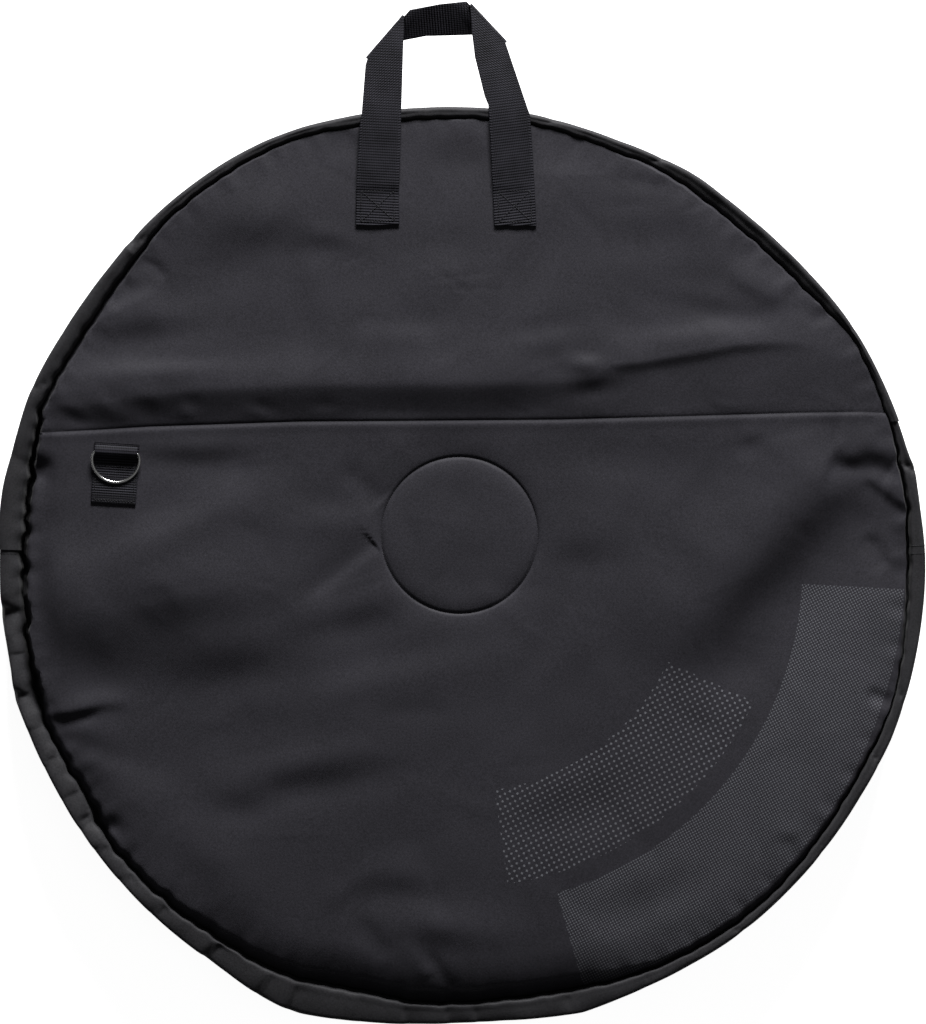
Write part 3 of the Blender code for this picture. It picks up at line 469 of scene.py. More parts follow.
def cloth(name, colour, pitch=0.0006, mapped=False, rough=0.60, relief=0.00012, marks=None):
    """Woven nylon: a plain weave, threads over and under in both directions, with thread-to-thread grain
    and slow changes of tone."""
    made = Finish(name, Roughness=rough, Sheen_Weight=0.04, Sheen_Roughness=0.45, Specular_IOR_Level=0.14)
    along, across = made.run() if mapped else made.place(2)
    turn = math.pi / pitch
    threads = (along * turn).sin() * (across * turn).sin() * 0.5 + 0.5
    grains = made.noise(620.0, 3.0, 0.7)
    tone = made.noise(14.0)
    mixed = made.mix(threads * 0.15 + (grains - 0.5) * 1.5 + (tone - 0.5) * 0.5 + 0.42,
                     tinted(colour, 0.45), tinted(colour, 1.55))
    if marks:
        mixed = marks(made, mixed)
    made.paint(Base_Color=mixed, Roughness=(grains - 0.5) * 0.10 + rough)
    made.bump(threads * 0.6 + grains * 0.6, relief)
    return made.material


def dot_bands(made, under):
    """Two curved bands of small printed lozenges: a close one by the rim, and an open one inside it."""
    x, y, _ = made.place()
    y = y - BAG_Y
    radius = (x * x + y * y).power(0.5)
    bearing = y.math("ARCTAN2", x) * (180.0 / math.pi)
    print_tone = made.noise(300.0, 2.0)
    c, s = math.cos(PRINT_TURN), math.sin(PRINT_TURN)
    mixed = under
    for inner, outer, start, end, pitch, size, colour in PRINTED_BANDS:
        dot = (abs((x * c + y * s).wrap(pitch)) + abs((y * c - x * s).wrap(pitch))) < size
        reach = dot * (radius > inner) * (radius < outer) * (bearing > start) * (bearing < end)
        mixed = made.mix(reach * (print_tone * 0.4 + 0.7), mixed, colour)
    return mixed


def plain(name, colour, rough, metal=0.0, specular=0.5, grain=0.1, scale=400.0, relief=0.00005):
    """A smooth finish with a fine grain in tone and gloss."""
    made = Finish(name, Roughness=rough, Metallic=metal, Specular_IOR_Level=specular)
    grains = made.noise(scale)
    made.paint(Base_Color=made.mix(grains, tinted(colour, 1.0 - grain), tinted(colour, 1.0 + grain)),
               Roughness=(grains - 0.5) * 0.2 + rough)
    made.bump(grains, relief)
    return made.material


def webbing_finish(name, colour):
    """Ribbed webbing: fine warp threads along it, crossed by the ribs that the mesh carries. The colour's ribs
    are painted highlight and painted shade: on the handle they lie in step with the mesh's ribs, lighter on
    each rib's side towards the key light and darker on its other side.
    """
    made = Finish(name, Roughness=0.6, Specular_IOR_Level=0.08)
    along, across = made.run()
    warp = across.wave(0.0015)
    grains = made.noise(1500.0, 2.0)
    worn = made.noise(50.0, 2.0, 0.5)
    # Painted highlight and painted shade of the ribs, then the webbing's own warp, grain and uneven tone
    share = along.wave(RIB) * 0.75 + warp * 0.25 + grains * 0.35 + worn * 0.7 - 0.54
    made.paint(Base_Color=made.mix(share, tinted(colour, 0.05), tinted(colour, 2.4)))
    made.bump(warp * 0.5 + grains * 0.5, 0.00022)
    return made.material


def brushed_steel():
    """Plated steel wire with fine lines and small scuffs."""
    made = Finish("ring_steel_plated", Metallic=1.0, Roughness=0.24)
    lines = made.noise(900.0, stretch=(1.0, 1.0, 0.2))
    scuffs = made.noise(160.0, 4.0, 0.7)
    made.paint(Base_Color=made.mix(scuffs, (0.50, 0.50, 0.50), (0.72, 0.72, 0.71)),
               Roughness=lines * 0.16 + scuffs * 0.12 + 0.10)
    made.bump(lines, 0.00003)
    return made.material


SHELL, BAND, LINING = (0.0222, 0.0212, 0.0262), (0.0215, 0.0210, 0.0232), (0.060, 0.062, 0.066)

# Finish of each kind of piece, and the name of a slot listed with it
FINISHES = {
    "shell": (cloth("shell_nylon", SHELL), "shell_cloth"),
    "printed": (cloth("shell_nylon_printed", SHELL, marks=dot_bands), "shell_cloth"),
    "band": (cloth("band_nylon", BAND, mapped=True), "band_cloth"),
    "lining": (cloth("lining_nylon", LINING, 0.0008, rough=0.5), "lining_cloth"),
    "gusset_lining": (cloth("lining_nylon_band", LINING, 0.0008, True, 0.5), "lining_cloth"),
    "foam": (plain("open_foam", (0.30, 0.30, 0.31), 0.95, grain=0.25, scale=900.0, relief=0.0004), "foam"),
    "webbing": (webbing_finish("webbing_ribbed", (0.0105, 0.0102, 0.0128)), "webbing"),
    "binding": (cloth("binding_grosgrain", (0.016, 0.016, 0.018), 0.0009, True, relief=0.0002),
                "binding_tape"),
    "tape": (cloth("zip_tape_woven", (0.015, 0.015, 0.016), 0.0007, True, relief=0.00016), "zip_tape"),
    "coil": (plain("zip_coil_nylon", (0.012, 0.012, 0.013), 0.40, scale=1500.0), "zip_coil"),
    "disc": (plain("disc_board", (0.035, 0.035, 0.038), 0.5, scale=600.0), "hub_disc"),
    "thread": (plain("thread_nylon", (0.013, 0.013, 0.015), 0.6, specular=0.2, grain=0.3, scale=2500.0),
               "webbing"),
    "steel": (brushed_steel(), "ring_steel"),
}


# ---------------------------------------------------------------- shape of the front

FINE_STEP = 0.05
FINE = np.arange(0, 360, FINE_STEP)


def eased(column, span):
    """A column of the rim's table at every fine step of the angle, eased with a bell of the given span
    in degrees, which reaches 60 fine steps to both sides."""
    raw = np.interp(FINE, RIM[:, 0], RIM[:, column], period=360)
    weights = np.exp(-(np.arange(-60, 61) * FINE_STEP / span) ** 2)
    return np.convolve(np.concatenate([raw[-60:], raw, raw[:60]]), weights / weights.sum(), "valid")


VALLEY, OUTLINE = eased(1, 0.7), eased(2, 0.5)


def valley(angle):
    """Radius of the front seam at an angle in degrees: the table's, a little further in from the top round
    by the left to the bottom, and slightly uneven, by three waves that are larger at the left."""
    turn = np.mod(angle, 360)
    inset = 1.2 * smoothstep((turn - 70) / 15) * smoothstep((300 - turn) / 15)
    a = np.radians(turn)
    uneven = 0.3 * np.sin(61 * a + 0.7) + 0.25 * np.sin(97 * a + 2.0) + 0.25 * np.sin(151 * a + 1.0)
    uneven = uneven * (1.0 + 1.2 * smoothstep((turn - 145) / 15) * smoothstep((245 - turn) / 15))
    return (np.interp(turn, FINE, VALLEY, period=360) - inset + uneven) * STEP


def outline(angle):
    """Radius of the bag's outline at an angle in degrees."""
    return np.interp(np.mod(angle, 360), FINE, OUTLINE, period=360) * STEP


def lowness(angle):
    """From 0 at the top of the bag to 1 at its bottom."""
    return ((1.0 - np.sin(np.radians(angle))) / 2) ** 1.4


def rim_form(angle, column):
    """One column of the edge's table, at an angle in degrees."""
    return np.interp(np.mod(angle, 360), RIM_FORM[:, 0], RIM_FORM[:, column], period=360)


def seam_drop(angle):
    """How far the front seam lies under the front's own level."""
    return rim_form(angle, 1) * MM


def seam_level(angle):
    """Height of the front seam."""
    return DEPTH - seam_drop(angle)


def slot_depth(angle):
    """How far the narrow slot beside the front seam reaches down below the seam's level."""
    return rim_form(angle, 9) * MM


def smoothstep(t):
    """From 0 to 1 as t goes from 0 to 1, level at both ends."""
    t = np.clip(t, 0.0, 1.0)
    return t * t * (3 - 2 * t)


def from_line(u, v, path):
    """Signed distance of points from a broken line, above it negative, and the share along it."""
    best, side, share = np.full(u.shape, 1e9), np.zeros(u.shape), np.zeros(u.shape)
    path = np.asarray(path, float)
    lengths = np.hypot(*(path[1:] - path[:-1]).T)
    run = 0.0
    sign = 1.0 if path[-1, 0] >= path[0, 0] else -1.0
    for (u0, v0), (u1, v1), length in zip(path, path[1:], lengths):
        du, dv = (u1 - u0) / length, (v1 - v0) / length
        t = np.clip((u - u0) * du + (v - v0) * dv, 0, length)
        away = np.hypot(u - u0 - t * du, v - v0 - t * dv)
        near = away < best
        best = np.where(near, away, best)
        side = np.where(near, np.sign(du * (v - v0) - dv * (u - u0)) * sign, side)
        share = np.where(near, (run + t) / lengths.sum(), share)
        run += length
    return best * np.where(side == 0, 1.0, side), share


def folded(u, v, folds, swells, slopes, benches):
    """Rise in metres from folds, each a bell across its line that fades to its ends, from swells,
    each a stretched bell, from slopes, each a bell times the distance up from its middle, and from
    benches, each a step down across its line that fades away from it."""
    rise = np.zeros(u.shape)
    for path, height, width, start, end in benches:
        away, share = from_line(u, v, path)
        bell = np.exp(-(away / (3.0 * width)) ** 2) * smoothstep(share / start) * smoothstep((1 - share) / end)
        rise -= height * MM * bell * np.tanh(away / width)
    for path, height, above, below, start, end in folds:
        away, share = from_line(u, v, path)
        bell = np.exp(-(away / np.where(away < 0, above, below)) ** 2)
        rise += height * MM * bell * smoothstep(share / start) * smoothstep((1 - share) / end)
    for sloping, patches in ((False, swells), (True, slopes)):
        for u0, v0, half_u, half_v, turn, height in patches:
            c, s = math.cos(math.radians(turn)), math.sin(math.radians(turn))
            du, dv = u - u0, v - v0
            p, q = (du * c + dv * s) / half_u, (dv * c - du * s) / half_v
            rise += height * MM * np.exp(-(p * p + q * q)) * (-q if sloping else 1.0)
    return rise


def in_view(x, y):
    """Point of the front view at a place about the bag's middle."""
    return x / STEP + MIDDLE_U, MIDDLE_V - y / STEP


def hem_height(u):
    """The hem's height on the front view at each place across it."""
    return np.interp(u, HEM[:, 0], HEM[:, 1])


def hem_y(x):
    """The hem's place up the bag, in metres, at each place across it."""
    return (MIDDLE_V - hem_height(x / STEP + MIDDLE_U)) * STEP


def rim_share(x, y):
    """Distance in from the front seam, and the angle of the point in degrees."""
    angle = np.degrees(np.arctan2(y, x))
    return valley(angle) - np.hypot(x, y), angle


def puckers(inwards, angle):
    """Small gathers that the seam's stitches draw into the cloth beside it."""
    arc = np.radians(angle) * 0.37
    wave = (np.sin(arc / 0.0033) * np.sin(arc / 0.0119 + 1.3)
            + 0.6 * np.sin(arc / 0.0052 + 2 * np.sin(arc / 0.04)))
    return 0.00034 * wave * np.exp(-((inwards - 0.006) / 0.010) ** 2)


def scattered(count, seed, long, short, height):
    """Soft ridges and hollows strewn over the front: place, turn, half sizes and rise of each."""
    pick = np.random.default_rng(seed)
    radius, bearing = 0.37 * np.sqrt(pick.random(count)), pick.random(count) * 2 * math.pi
    return np.stack([radius * np.cos(bearing), radius * np.sin(bearing), pick.random(count) * math.pi,
                     pick.uniform(*long, count), pick.uniform(*short, count),
                     pick.uniform(0.4, 1.0, count) * height * pick.choice([-1.0, 1.0], count)], -1)


# Ridges and hollows of three sizes
STREWN = np.concatenate([scattered(70, 3, (0.030, 0.070), (0.018, 0.034), 0.0011),
                         scattered(150, 8, (0.016, 0.045), (0.0065, 0.0120), 0.00042),
                         scattered(220, 5, (0.012, 0.034), (0.0028, 0.0050), 0.00015)])


def slow_waves(x, y):
    """Unevenness of soft cloth over foam: the strewn ridges and hollows, each a stretched bell."""
    rise = np.zeros(x.shape)
    for x0, y0, turn, long, short, height in STREWN:
        c, s = math.cos(turn), math.sin(turn)
        p, q = ((x - x0) * c + (y - y0) * s) / long, ((y - y0) * c - (x - x0) * s) / short
        rise += height * np.exp(-(p * p + q * q))
    return rise


# Width in grid steps of the soft fall before the edge, and the distance in from the seam, in metres,
# over which folds rise from nothing
SOFT_WIDTH = 46
CALM = 0.004


def base_level(x, y):
    """The front's crowned level, rounded down to its seam in a quarter bell."""
    inwards, angle = rim_share(x, y)
    edge = np.clip(1.0 - inwards / (rim_form(angle, 2) * STEP), 0.0, 1.15)
    soft = rim_form(angle, 7) * MM * np.clip(1.0 - inwards / (SOFT_WIDTH * STEP), 0.0, 1.0) ** 2
    crown = CROWN * (1.0 - (x * x + y * y) / SEAM_RADIUS ** 2)
    slot = slot_depth(angle) * smoothstep(2.0 * (1.0 - inwards / (rim_form(angle, 8) * STEP)))
    return (DEPTH + crown - (seam_drop(angle) - soft) * edge ** 1.9 - soft - slot
            + puckers(inwards, angle))


def relief(x, y, *forms):
    """Rise of one panel's folds and of the slow waves, calmed beside the rim's stitches."""
    inwards, _ = rim_share(x, y)
    return (folded(*in_view(x, y), *forms) + slow_waves(x, y)) * smoothstep(inwards / CALM)


def hub_form(u, v):
    """The hub pad: puffed inside its stitched ring, drawn down at the ring, and rising again outside."""
    away = np.hypot(u - HUB_U, v - HUB_V) - HUB_R
    inside = np.clip(1.0 + away / 18.0, 0.0, 1.0) ** 2.2
    outside = np.exp(-np.maximum(away, 0) / 9.0)
    return -0.0019 * np.where(away < 0, inside, outside) - 0.0010 * np.exp(-(away / 1.2) ** 2)


def lower_level(x, y):
    """Top of the lower front panel: crown, folds, hub pad, and a lip that turns down at the hem."""
    u, v = in_view(x, y)
    below_hem = (v - hem_height(u)) * STEP
    lip = (0.0022 * np.exp(-(below_hem / 0.030) ** 2) + 0.0005 * np.exp(-((below_hem - 0.003) / 0.005) ** 2)
           - 0.0006 * np.exp(-(below_hem / 0.0022) ** 2))
    rise = relief(x, y, LOWER_FOLDS, LOWER_SWELLS, LOWER_SLOPES, LOWER_BENCHES)
    return base_level(x, y) + rise + hub_form(u, v) + lip


def upper_level(x, y):
    """Top of the upper front panel: crown and folds, drawn down into the fold seam."""
    u, v = in_view(x, y)
    above_hem = (hem_height(u) - v) * STEP
    depth, reach = (np.interp(u, HEM_DIP[:, 0], HEM_DIP[:, k]) for k in (1, 2))
    ramp = 1.0 - np.maximum(above_hem, 0.0) / (reach * STEP)
    ramp = 0.5 * (ramp + np.sqrt(ramp ** 2 + 0.012))
    dip = -depth * MM * (ramp + 0.14 * np.exp(-np.maximum(above_hem, 0.0) / 0.0012))
    rise = relief(x, y, UPPER_FOLDS, UPPER_SWELLS, UPPER_SLOPES, ())
    return base_level(x, y) + rise * smoothstep((above_hem + 0.002) / 0.012) + dip


# ---------------------------------------------------------------- front and back panels

# How far the upper panel reaches down under the hem
UNDERLAP = 0.008
UPPER_CENTRE = (0.0, 0.235)

# The upper panel's bend, from just below the fold to just above it
FLAP_Y = FOLD_Y + BAG_Y
HINGE_Z = 0.06936833
FLAP_BEND = ("bag", "flap", (0.0, FLAP_Y - 0.002, HINGE_Z), (0.0, FLAP_Y + 0.016, HINGE_Z))

# Shares of the way from a panel's centre to its border, close together by the rim
RIM_SHARES = 1.0 - np.linspace(1.0, 0.0, 18)[1:] ** 1.3 * 0.10


def even_then_rim(start, count):
    """Shares of the way to a border: even ones from the start, then those by the rim."""
    return np.concatenate([np.linspace(start, 0.90, count, endpoint=False), [0.90], RIM_SHARES])


def crossing(offset, left):
    """Angle at which the front seam crosses the hem line moved up by offset."""
    angle = np.linspace(*((150, 172) if left else (30, 8)), 4400)
    x, y = polar(valley(angle), angle).T
    return angle[np.argmax(y <= hem_y(x) + offset)]


def half_border(half, rim_count=360, hem_count=150, inset=0.0, hem_offset=0.0):
    """Border of one half of the front: round the rim from one corner, then back along the hem, in even
    lengths. It is inset from the rim, and moved up at the hem by an offset."""
    left, right = crossing(hem_offset, True), crossing(hem_offset, False)
    angle = np.linspace(*((left, 360 + right) if half == "lower" else (right, left)), 1500)
    rim = polar(valley(angle) - inset, angle)
    x = np.linspace(rim[-1, 0], rim[0, 0], 700)
    hem = np.stack([x, hem_y(x) + hem_offset], -1)
    return np.concatenate([walked(line, np.linspace(0, 1, count, endpoint=False))[0]
                           for line, count in ((rim, rim_count), (hem, hem_count))])


def spokes(border, centre, shares):
    """Rings of points from near a centre out to a border, one for each share of the way."""
    return np.asarray(centre) + shares[:, None, None] * (border - centre)


def hubbed_spokes(border, centre, radius, inner, outer):
    """Rings that are true circles as far as a radius, and from there spread out to the border."""
    way = border - centre
    circle = radius * way / np.hypot(*way.T)[:, None]
    return np.asarray(centre) + np.concatenate([inner[:, None, None] * circle,
                                                circle + outer[:, None, None] * (way - circle)])


def lens_of(rings, centre, top, bottom, under=1):
    """Closed body: rings lifted to the top level, then back in on every so many of them at the bottom
    level."""
    def on(places, level):
        """Places lifted to a level."""
        return lifted(places, level(places[..., 0], places[..., 1]))

    middle = np.array([centre])
    return lens(np.concatenate([on(rings, top), on(rings[::-1][::under], bottom)]),
                on(middle, top)[0], on(middle, bottom)[0])


def thin(level):
    """Underside of the front cloth: a cloth's thickness down at the border, and 1.4 mm more inside."""
    return lambda x, y: level(x, y) - 0.0014 * smoothstep(rim_share(x, y)[0] / 0.01) - CLOTH


def front_panels():
    """Outer cloth of the two halves of the front."""
    inner = np.concatenate([np.linspace(0.06, 0.74, 13), np.linspace(0.77, 0.94, 12), [0.97, 1.0]])
    rings = hubbed_spokes(half_border("lower", 600, 250), HUB, 0.078, inner, even_then_rim(0.012, 92))
    make("front_lower_cloth", lens_of(rings, HUB, lower_level, thin(lower_level), 8), "printed", "bag",
         "front_lower_panel", sharp=50, fill=0.4)
    rings = spokes(half_border("upper", 520, 270, hem_offset=-UNDERLAP), UPPER_CENTRE,
                   even_then_rim(0.02, 104))
    make("front_upper_cloth", lens_of(rings, UPPER_CENTRE, upper_level, thin(upper_level), 8), "shell",
         FLAP_BEND, "front_upper_panel", sharp=50, fill=0.4)


front_panels()


# ---------------------------------------------------------------- side band

# Layers under the band's face, in metres: how far in from it each starts, how thick it is, and how deep
# the gaps are between the coil's ribs; and the distance between those ribs
BAND_LINING = {"inset": 0.0013, "thickness": 0.0008}
ZIP_TAPE = {"inset": 0.0013, "thickness": 0.0007}
ZIP_COIL = {"inset": 0.0023, "thickness": 0.0021, "ribs": 0.0013}
JOIN_TAPE = {"inset": 0.0024, "thickness": 0.0006}
COIL_PITCH = 0.0017


def creased(angle, across):
    """Rise of the creases across the band: sharp dips that fade on both sides. Each slants its own way,
    and is deeper at one side of the band."""
    at = BAND_CREASES[:, 0]
    away = (angle[..., None] - at - 2.0 * np.sin(at * 2.3) * (across - 0.5) + 180) % 360 - 180
    away = np.abs(away) / np.where(away < 0, BAND_CREASES[:, 2], BAND_CREASES[:, 3])
    deep = BAND_CREASES[:, 1] * MM * (1.0 + 0.8 * np.sin(at * 1.7) * (2.0 * across - 1.0))
    return (deep * np.exp(-away ** 1.15)).sum(-1)


def back_valley(angle):
    """Radius of the back seam at an angle in degrees."""
    return outline(angle) - 0.0115 - 0.0020 * lowness(angle)


def band_stations(angle):
    """Section of the band at each angle, as radius and height: up out of the front seam over its
    roll, out to the outline, and down to the back seam. Where the zip runs, it dips between two rolls."""
    a = np.radians(angle)
    front, outer, level = valley(angle), outline(angle), seam_level(angle)
    turned = outer + EDGE_OUT * (1.0 - np.sin(a)) / 2
    width = np.maximum(turned - front, 0.004)
    lip, middle, edge = (rim_form(angle, column) * MM for column in (3, 4, 5))
    near, mid, far = (creased(angle, across) for across in (0.1, 0.45, 0.9))
    puff = 0.0005 * np.sin(a * 43) * np.sin(a * 17 + 1)
    past_join = smoothstep((outer * np.sin(a) - JOIN_Y - 0.014) / 0.04)
    dip = outer - past_join * np.maximum(0.0022, outer - ZIP_RADIUS)
    back = back_valley(angle)
    rows = [
        (front + 0.0002, level - slot_depth(angle) - 0.0015),
        (front + 0.07 * width + 0.0004, level + lip + 0.6 * near),
        (front + rim_form(angle, 6) * width, level + middle + mid),
        (turned - 0.0016 + 0.3 * far, level + edge + 0.7 * far + puff),
        (turned - 0.0003 + 0.3 * far, level + edge - 0.0024 + 0.7 * far + puff),
        (turned, 0.0405),
        (dip, ZIP_Z + ZIP_SLOT / 2),
        (dip, ZIP_Z),
        (dip, ZIP_Z - ZIP_SLOT / 2),
        (outer - 0.0004, 0.0235),
        (outer - 0.0015 + puff, 0.0165),
        ((outer + back) / 2, 0.0020),
        (back - 0.0006, BACK_SEAM + 0.0030)]
    return np.stack([np.stack(np.broadcast_arrays(*row), -1) for row in rows])


def rounded(stations, places):
    """Points at the given places, in whole stations, on a smooth curve through the stations: at each it
    heads from the one before to the one after, as fast as the stretch is long, so it never overshoots."""
    padded = np.concatenate([2 * stations[:1] - stations[1:2], stations, 2 * stations[-1:] - stations[-2:-1]])
    index = np.clip(np.floor(places).astype(int), 0, len(stations) - 2)
    t = (places - index).reshape(-1, *([1] * (stations.ndim - 1)))
    a, b, c, d = (padded[index + k] for k in range(4))

    def length(span):
        """How long each way is, never quite nothing."""
        return np.maximum(np.linalg.norm(span, axis=-1, keepdims=True), 1e-9)

    start, finish = ((ahead / length(ahead)) * length(c - b) for ahead in (c - a, d - b))
    return (b * (2 * t ** 3 - 3 * t ** 2 + 1) + c * (3 * t ** 2 - 2 * t ** 3)
            + start * (t ** 3 - 2 * t ** 2 + t) + finish * (t ** 3 - t ** 2))


def at_height(height, left):
    """End angle, for each radius, of a straight cut across the band at this height of the bag."""
    def angle(radius):
        """The angle whose sine is the height over the radius, or on the left the rest of a half turn."""
        right = math.degrees(math.asin(min(1.0, height / radius)))
        return 180 - right if left else right
    return angle


def even_angle(height, left, whole_turns=0):
    """One end angle for every radius: the zip's at this height of the bag, and whole turns on."""
    angle = at_height(height, left)(ZIP_RADIUS) + 360 * whole_turns
    return lambda radius: angle


def band_piece(name, node, ends, places, steps, finish, rides="bag", inset=0.0, thickness=CLOTH, ribs=0.0):
    """A layer of the band, inset from its face: rows across it at the places, columns along it. Each of
    the two ends gives the end angle for a radius. Ribs, if any, stand on its inner side."""
    begin, finish_at = (np.array([end(radius) for radius in
                                  rounded(band_stations(np.array([end(BAND_RADIUS)])), places)[:, 0, 0]])
                        for end in ends)
    angle = begin[:, None] + (finish_at - begin)[:, None] * np.linspace(0, 1, steps)
    section = np.stack([rounded(band_stations(row), place[None])[0] for row, place in zip(angle, places)])
    slope = np.gradient(section, axis=0)
    length = np.hypot(slope[..., 0], slope[..., 1])
    normal = np.stack([-slope[..., 1], slope[..., 0]], -1) / np.maximum(length, 1e-9)[..., None]
    outwards = np.sign(normal[..., 0].mean()) or 1.0
    rib_turn = np.radians(angle) * ZIP_RADIUS * 2 * math.pi / COIL_PITCH
    deep = inset + thickness - ribs * (0.5 - 0.5 * np.cos(rib_turn))
    grids = (lifted(polar(moved[..., 0], angle), moved[..., 1])
             for moved in (section - normal * outwards * depth for depth in (inset, deep[..., None])))
    shape = slab(*grids, np.radians(angle) * 0.385, np.cumsum(length, 0))
    make(name, shape, finish, rides, node, sharp=50)


def zip_part(part, ends, rides, places, tape, coil, steps):
    """One stretch of the zip part of the band: its strip of cloth, and the zip's tape and coil under it.
    tape and coil are their first and last places, and steps the columns of all three."""
    band_piece(f"zip_strip_{part}_cloth", f"zip_strip_{part}", ends, places, steps[0], "band", rides)
    band_piece(f"zip_tape_{part}_weave", f"zip_tape_{part}", ends, np.linspace(*tape, 12), steps[1], "tape",
               rides, **ZIP_TAPE)
    band_piece(f"zip_coil_{part}_teeth", f"zip_coil_{part}", ends, np.linspace(*coil, 4), steps[2], "coil",
               rides, **ZIP_COIL)


def side_band():
    """The band's cloth, its lining, the zip's tapes and coils, and the tapes over the joins."""
    front_roll = np.linspace(0, 3, 22)
    left_join, right_join = even_angle(JOIN_Y, True), even_angle(JOIN_Y, False)
    left_fold, right_fold = at_height(FOLD_Y, True), at_height(FOLD_Y, False)
    band_piece("base_gusset_cloth", "base_gusset", (left_join, even_angle(JOIN_Y, False, 1)),
               np.concatenate([front_roll, np.linspace(3, 12, 28)[1:]]), 1100, "band")
    band_piece("base_gusset_inside", "base_gusset_lining",
               (even_angle(0.0024, True), even_angle(0.0024, False, 1)), np.linspace(4.4, 10.2, 16), 500,
               "gusset_lining", **BAND_LINING)
    zip_part("back", (right_join, left_join), "bag", np.linspace(8, 12, 18), (7.1, 9.94), (7.1, 7.5),
             (520, 400, 3000))
    front_places = np.concatenate([front_roll, np.linspace(3, 6, 14)[1:]])
    for part, ends, rides, size in (("flap", (right_fold, left_fold), FLAP_BEND, 8),
                                    ("front_right", (right_join, right_fold), "bag", 1),
                                    ("front_left", (left_fold, left_join), "bag", 1)):
        zip_part(part, ends, rides, front_places, (4.5, 6.9), (6.5, 6.9),
                 (80 * size + 20, 60 * size, 300 * size))
    for side, left in (("left", True), ("right", False)):
        ends = even_angle(0.0249, left), even_angle(0.0029, left)
        band_piece(f"join_tape_{side}_weave", f"join_tape_{side}", ends, np.linspace(4.5, 10.0, 14), 12,
                   "binding", **JOIN_TAPE)


side_band()


# ---------------------------------------------------------------- layers inside

# Faces of the layers, in metres under the front's top and over the back's underside: foam, lining and hub
# disc; then how much thinner the foam is over the disc
FRONT_FOAM, FRONT_LINING = (-0.0027, -0.0075), (-0.0078, -0.0086)
FRONT_DISC, FRONT_ROOM = (-0.0027, -0.0047), 0.0023
BACK_FOAM, BACK_LINING = (0.0066, 0.0016), (0.0078, 0.0070)
BACK_DISC, BACK_ROOM = (0.0037, 0.0017), 0.0024

# Thickness of the back panel's cloth
BACK_CLOTH = 0.0012

# How far in from the seams the foam and the lining end, in metres, and the radius of the hub discs
FOAM_EDGE, LINING_EDGE, DISC_RADIUS = 0.0105, 0.0100, 0.062


def shifted(level, rise):
    """A level moved up by a fixed rise."""
    return lambda x, y: level(x, y) + rise


def hub_notch(x, y):
    """1 over the stiff disc at the hub, 0 away from it."""
    return smoothstep((0.066 - np.hypot(x - HUB[0], y - HUB[1])) / 0.002)


def hub_circle(radius, count):
    """Points round the hub's middle."""
    return HUB + polar(radius, np.linspace(0, 360, count, endpoint=False))


def layer(name, node, border, centre, high, low, finish, rides="bag", fill=None, count=40):
    """A layer between two levels, on rings from its centre out to its border."""
    shares = np.concatenate([np.linspace(0.03, 0.92, count), [0.95, 0.975, 1.0]])
    make(name, lens_of(spokes(border, centre, shares), centre, high, low), finish, rides, node, sharp=50,
         fill=fill)


def bound_edge(name, node, start, end, rides, radius_of, level_of):
    """Binding over the seam allowance inside a round seam: a flat rounded strip along it."""
    closed = end - start >= 360
    angle = np.linspace(start, end, int(2.4 * (end - start)), endpoint=not closed)[:, None]
    turn = np.linspace(0, 2 * math.pi, 16, endpoint=False)
    wide, high = (half * np.sign(part) * np.abs(part) ** 0.4
                  for half, part in ((0.00475, np.cos(turn)), (0.0010, np.sin(turn))))
    radius = radius_of(angle) - 0.0050 + wide
    grid = lifted(polar(radius, angle), level_of(angle) + high)
    run = np.radians(angle) * radius
    make(name, (*ring_tube(grid), flat_map(run, wide)) if closed else tube(grid, run, wide), "binding", rides,
         node)


def front_inside():
    """Foam and lining of both halves of the front, the bindings of their seams, and the fold seam's tape."""
    for half, level, centre, rides, count, foam_hem, lining_hem in (
            ("lower", lower_level, HUB, "bag", 60, -0.0095, -0.001),
            ("upper", upper_level, UPPER_CENTRE, FLAP_BEND, 40, 0.001, 0.001)):
        layer(f"front_{half}_padding", f"front_{half}_foam",
              half_border(half, inset=FOAM_EDGE, hem_offset=foam_hem), centre,
              lambda x, y: level(x, y) + FRONT_FOAM[0] - FRONT_ROOM * hub_notch(x, y),
              shifted(level, FRONT_FOAM[1]), "foam", rides, 0.5, count)
        layer(f"front_{half}_inside", f"front_{half}_lining",
              half_border(half, inset=LINING_EDGE, hem_offset=lining_hem), centre,
              *(shifted(level, face) for face in FRONT_LINING), "lining", rides, count=count)
    left, right = crossing(0.0, True), crossing(0.0, False)
    for half, start, end, rides in (("lower", left + 0.3, 359.7 + right, "bag"),
                                    ("upper", right + 0.5, left - 0.5, FLAP_BEND)):
        bound_edge(f"front_{half}_edge_binding", f"front_{half}_binding", start, end, rides, valley,
                   lambda angle: seam_level(angle) - slot_depth(angle) - 0.0025)
    x = np.linspace(-0.338, 0.338, 260)[:, None]
    y = hem_y(x) - np.linspace(0.0165, 0.0008, 10)
    places = np.stack(np.broadcast_arrays(x, y), -1)
    top = lower_level(*np.moveaxis(places, -1, 0)) - 0.0089
    make("fold_seam_tape_weave", slab(lifted(places, top), lifted(places, top - 0.0007), x, y), "binding",
         "bag", "fold_seam_tape")


def back_level(x, y):
    """Underside of the back panel: flat on the floor, rising to its seam and at the hub's stitched ring."""
    angle = np.degrees(np.arctan2(y, x))
    inwards = back_valley(angle) - np.hypot(x, y)
    edge = np.clip(1.0 - inwards / 0.018, 0.0, 1.3)
    away = np.abs(np.hypot(x - HUB[0], y - HUB[1]) - HUB_R * STEP)
    waves = np.maximum(slow_waves(x * 1.3 + 0.4, y) + puckers(inwards, angle), 0.0)
    return BACK_SEAM * edge ** 2.3 + 0.0016 * np.exp(-(away / 0.006) ** 2) + waves


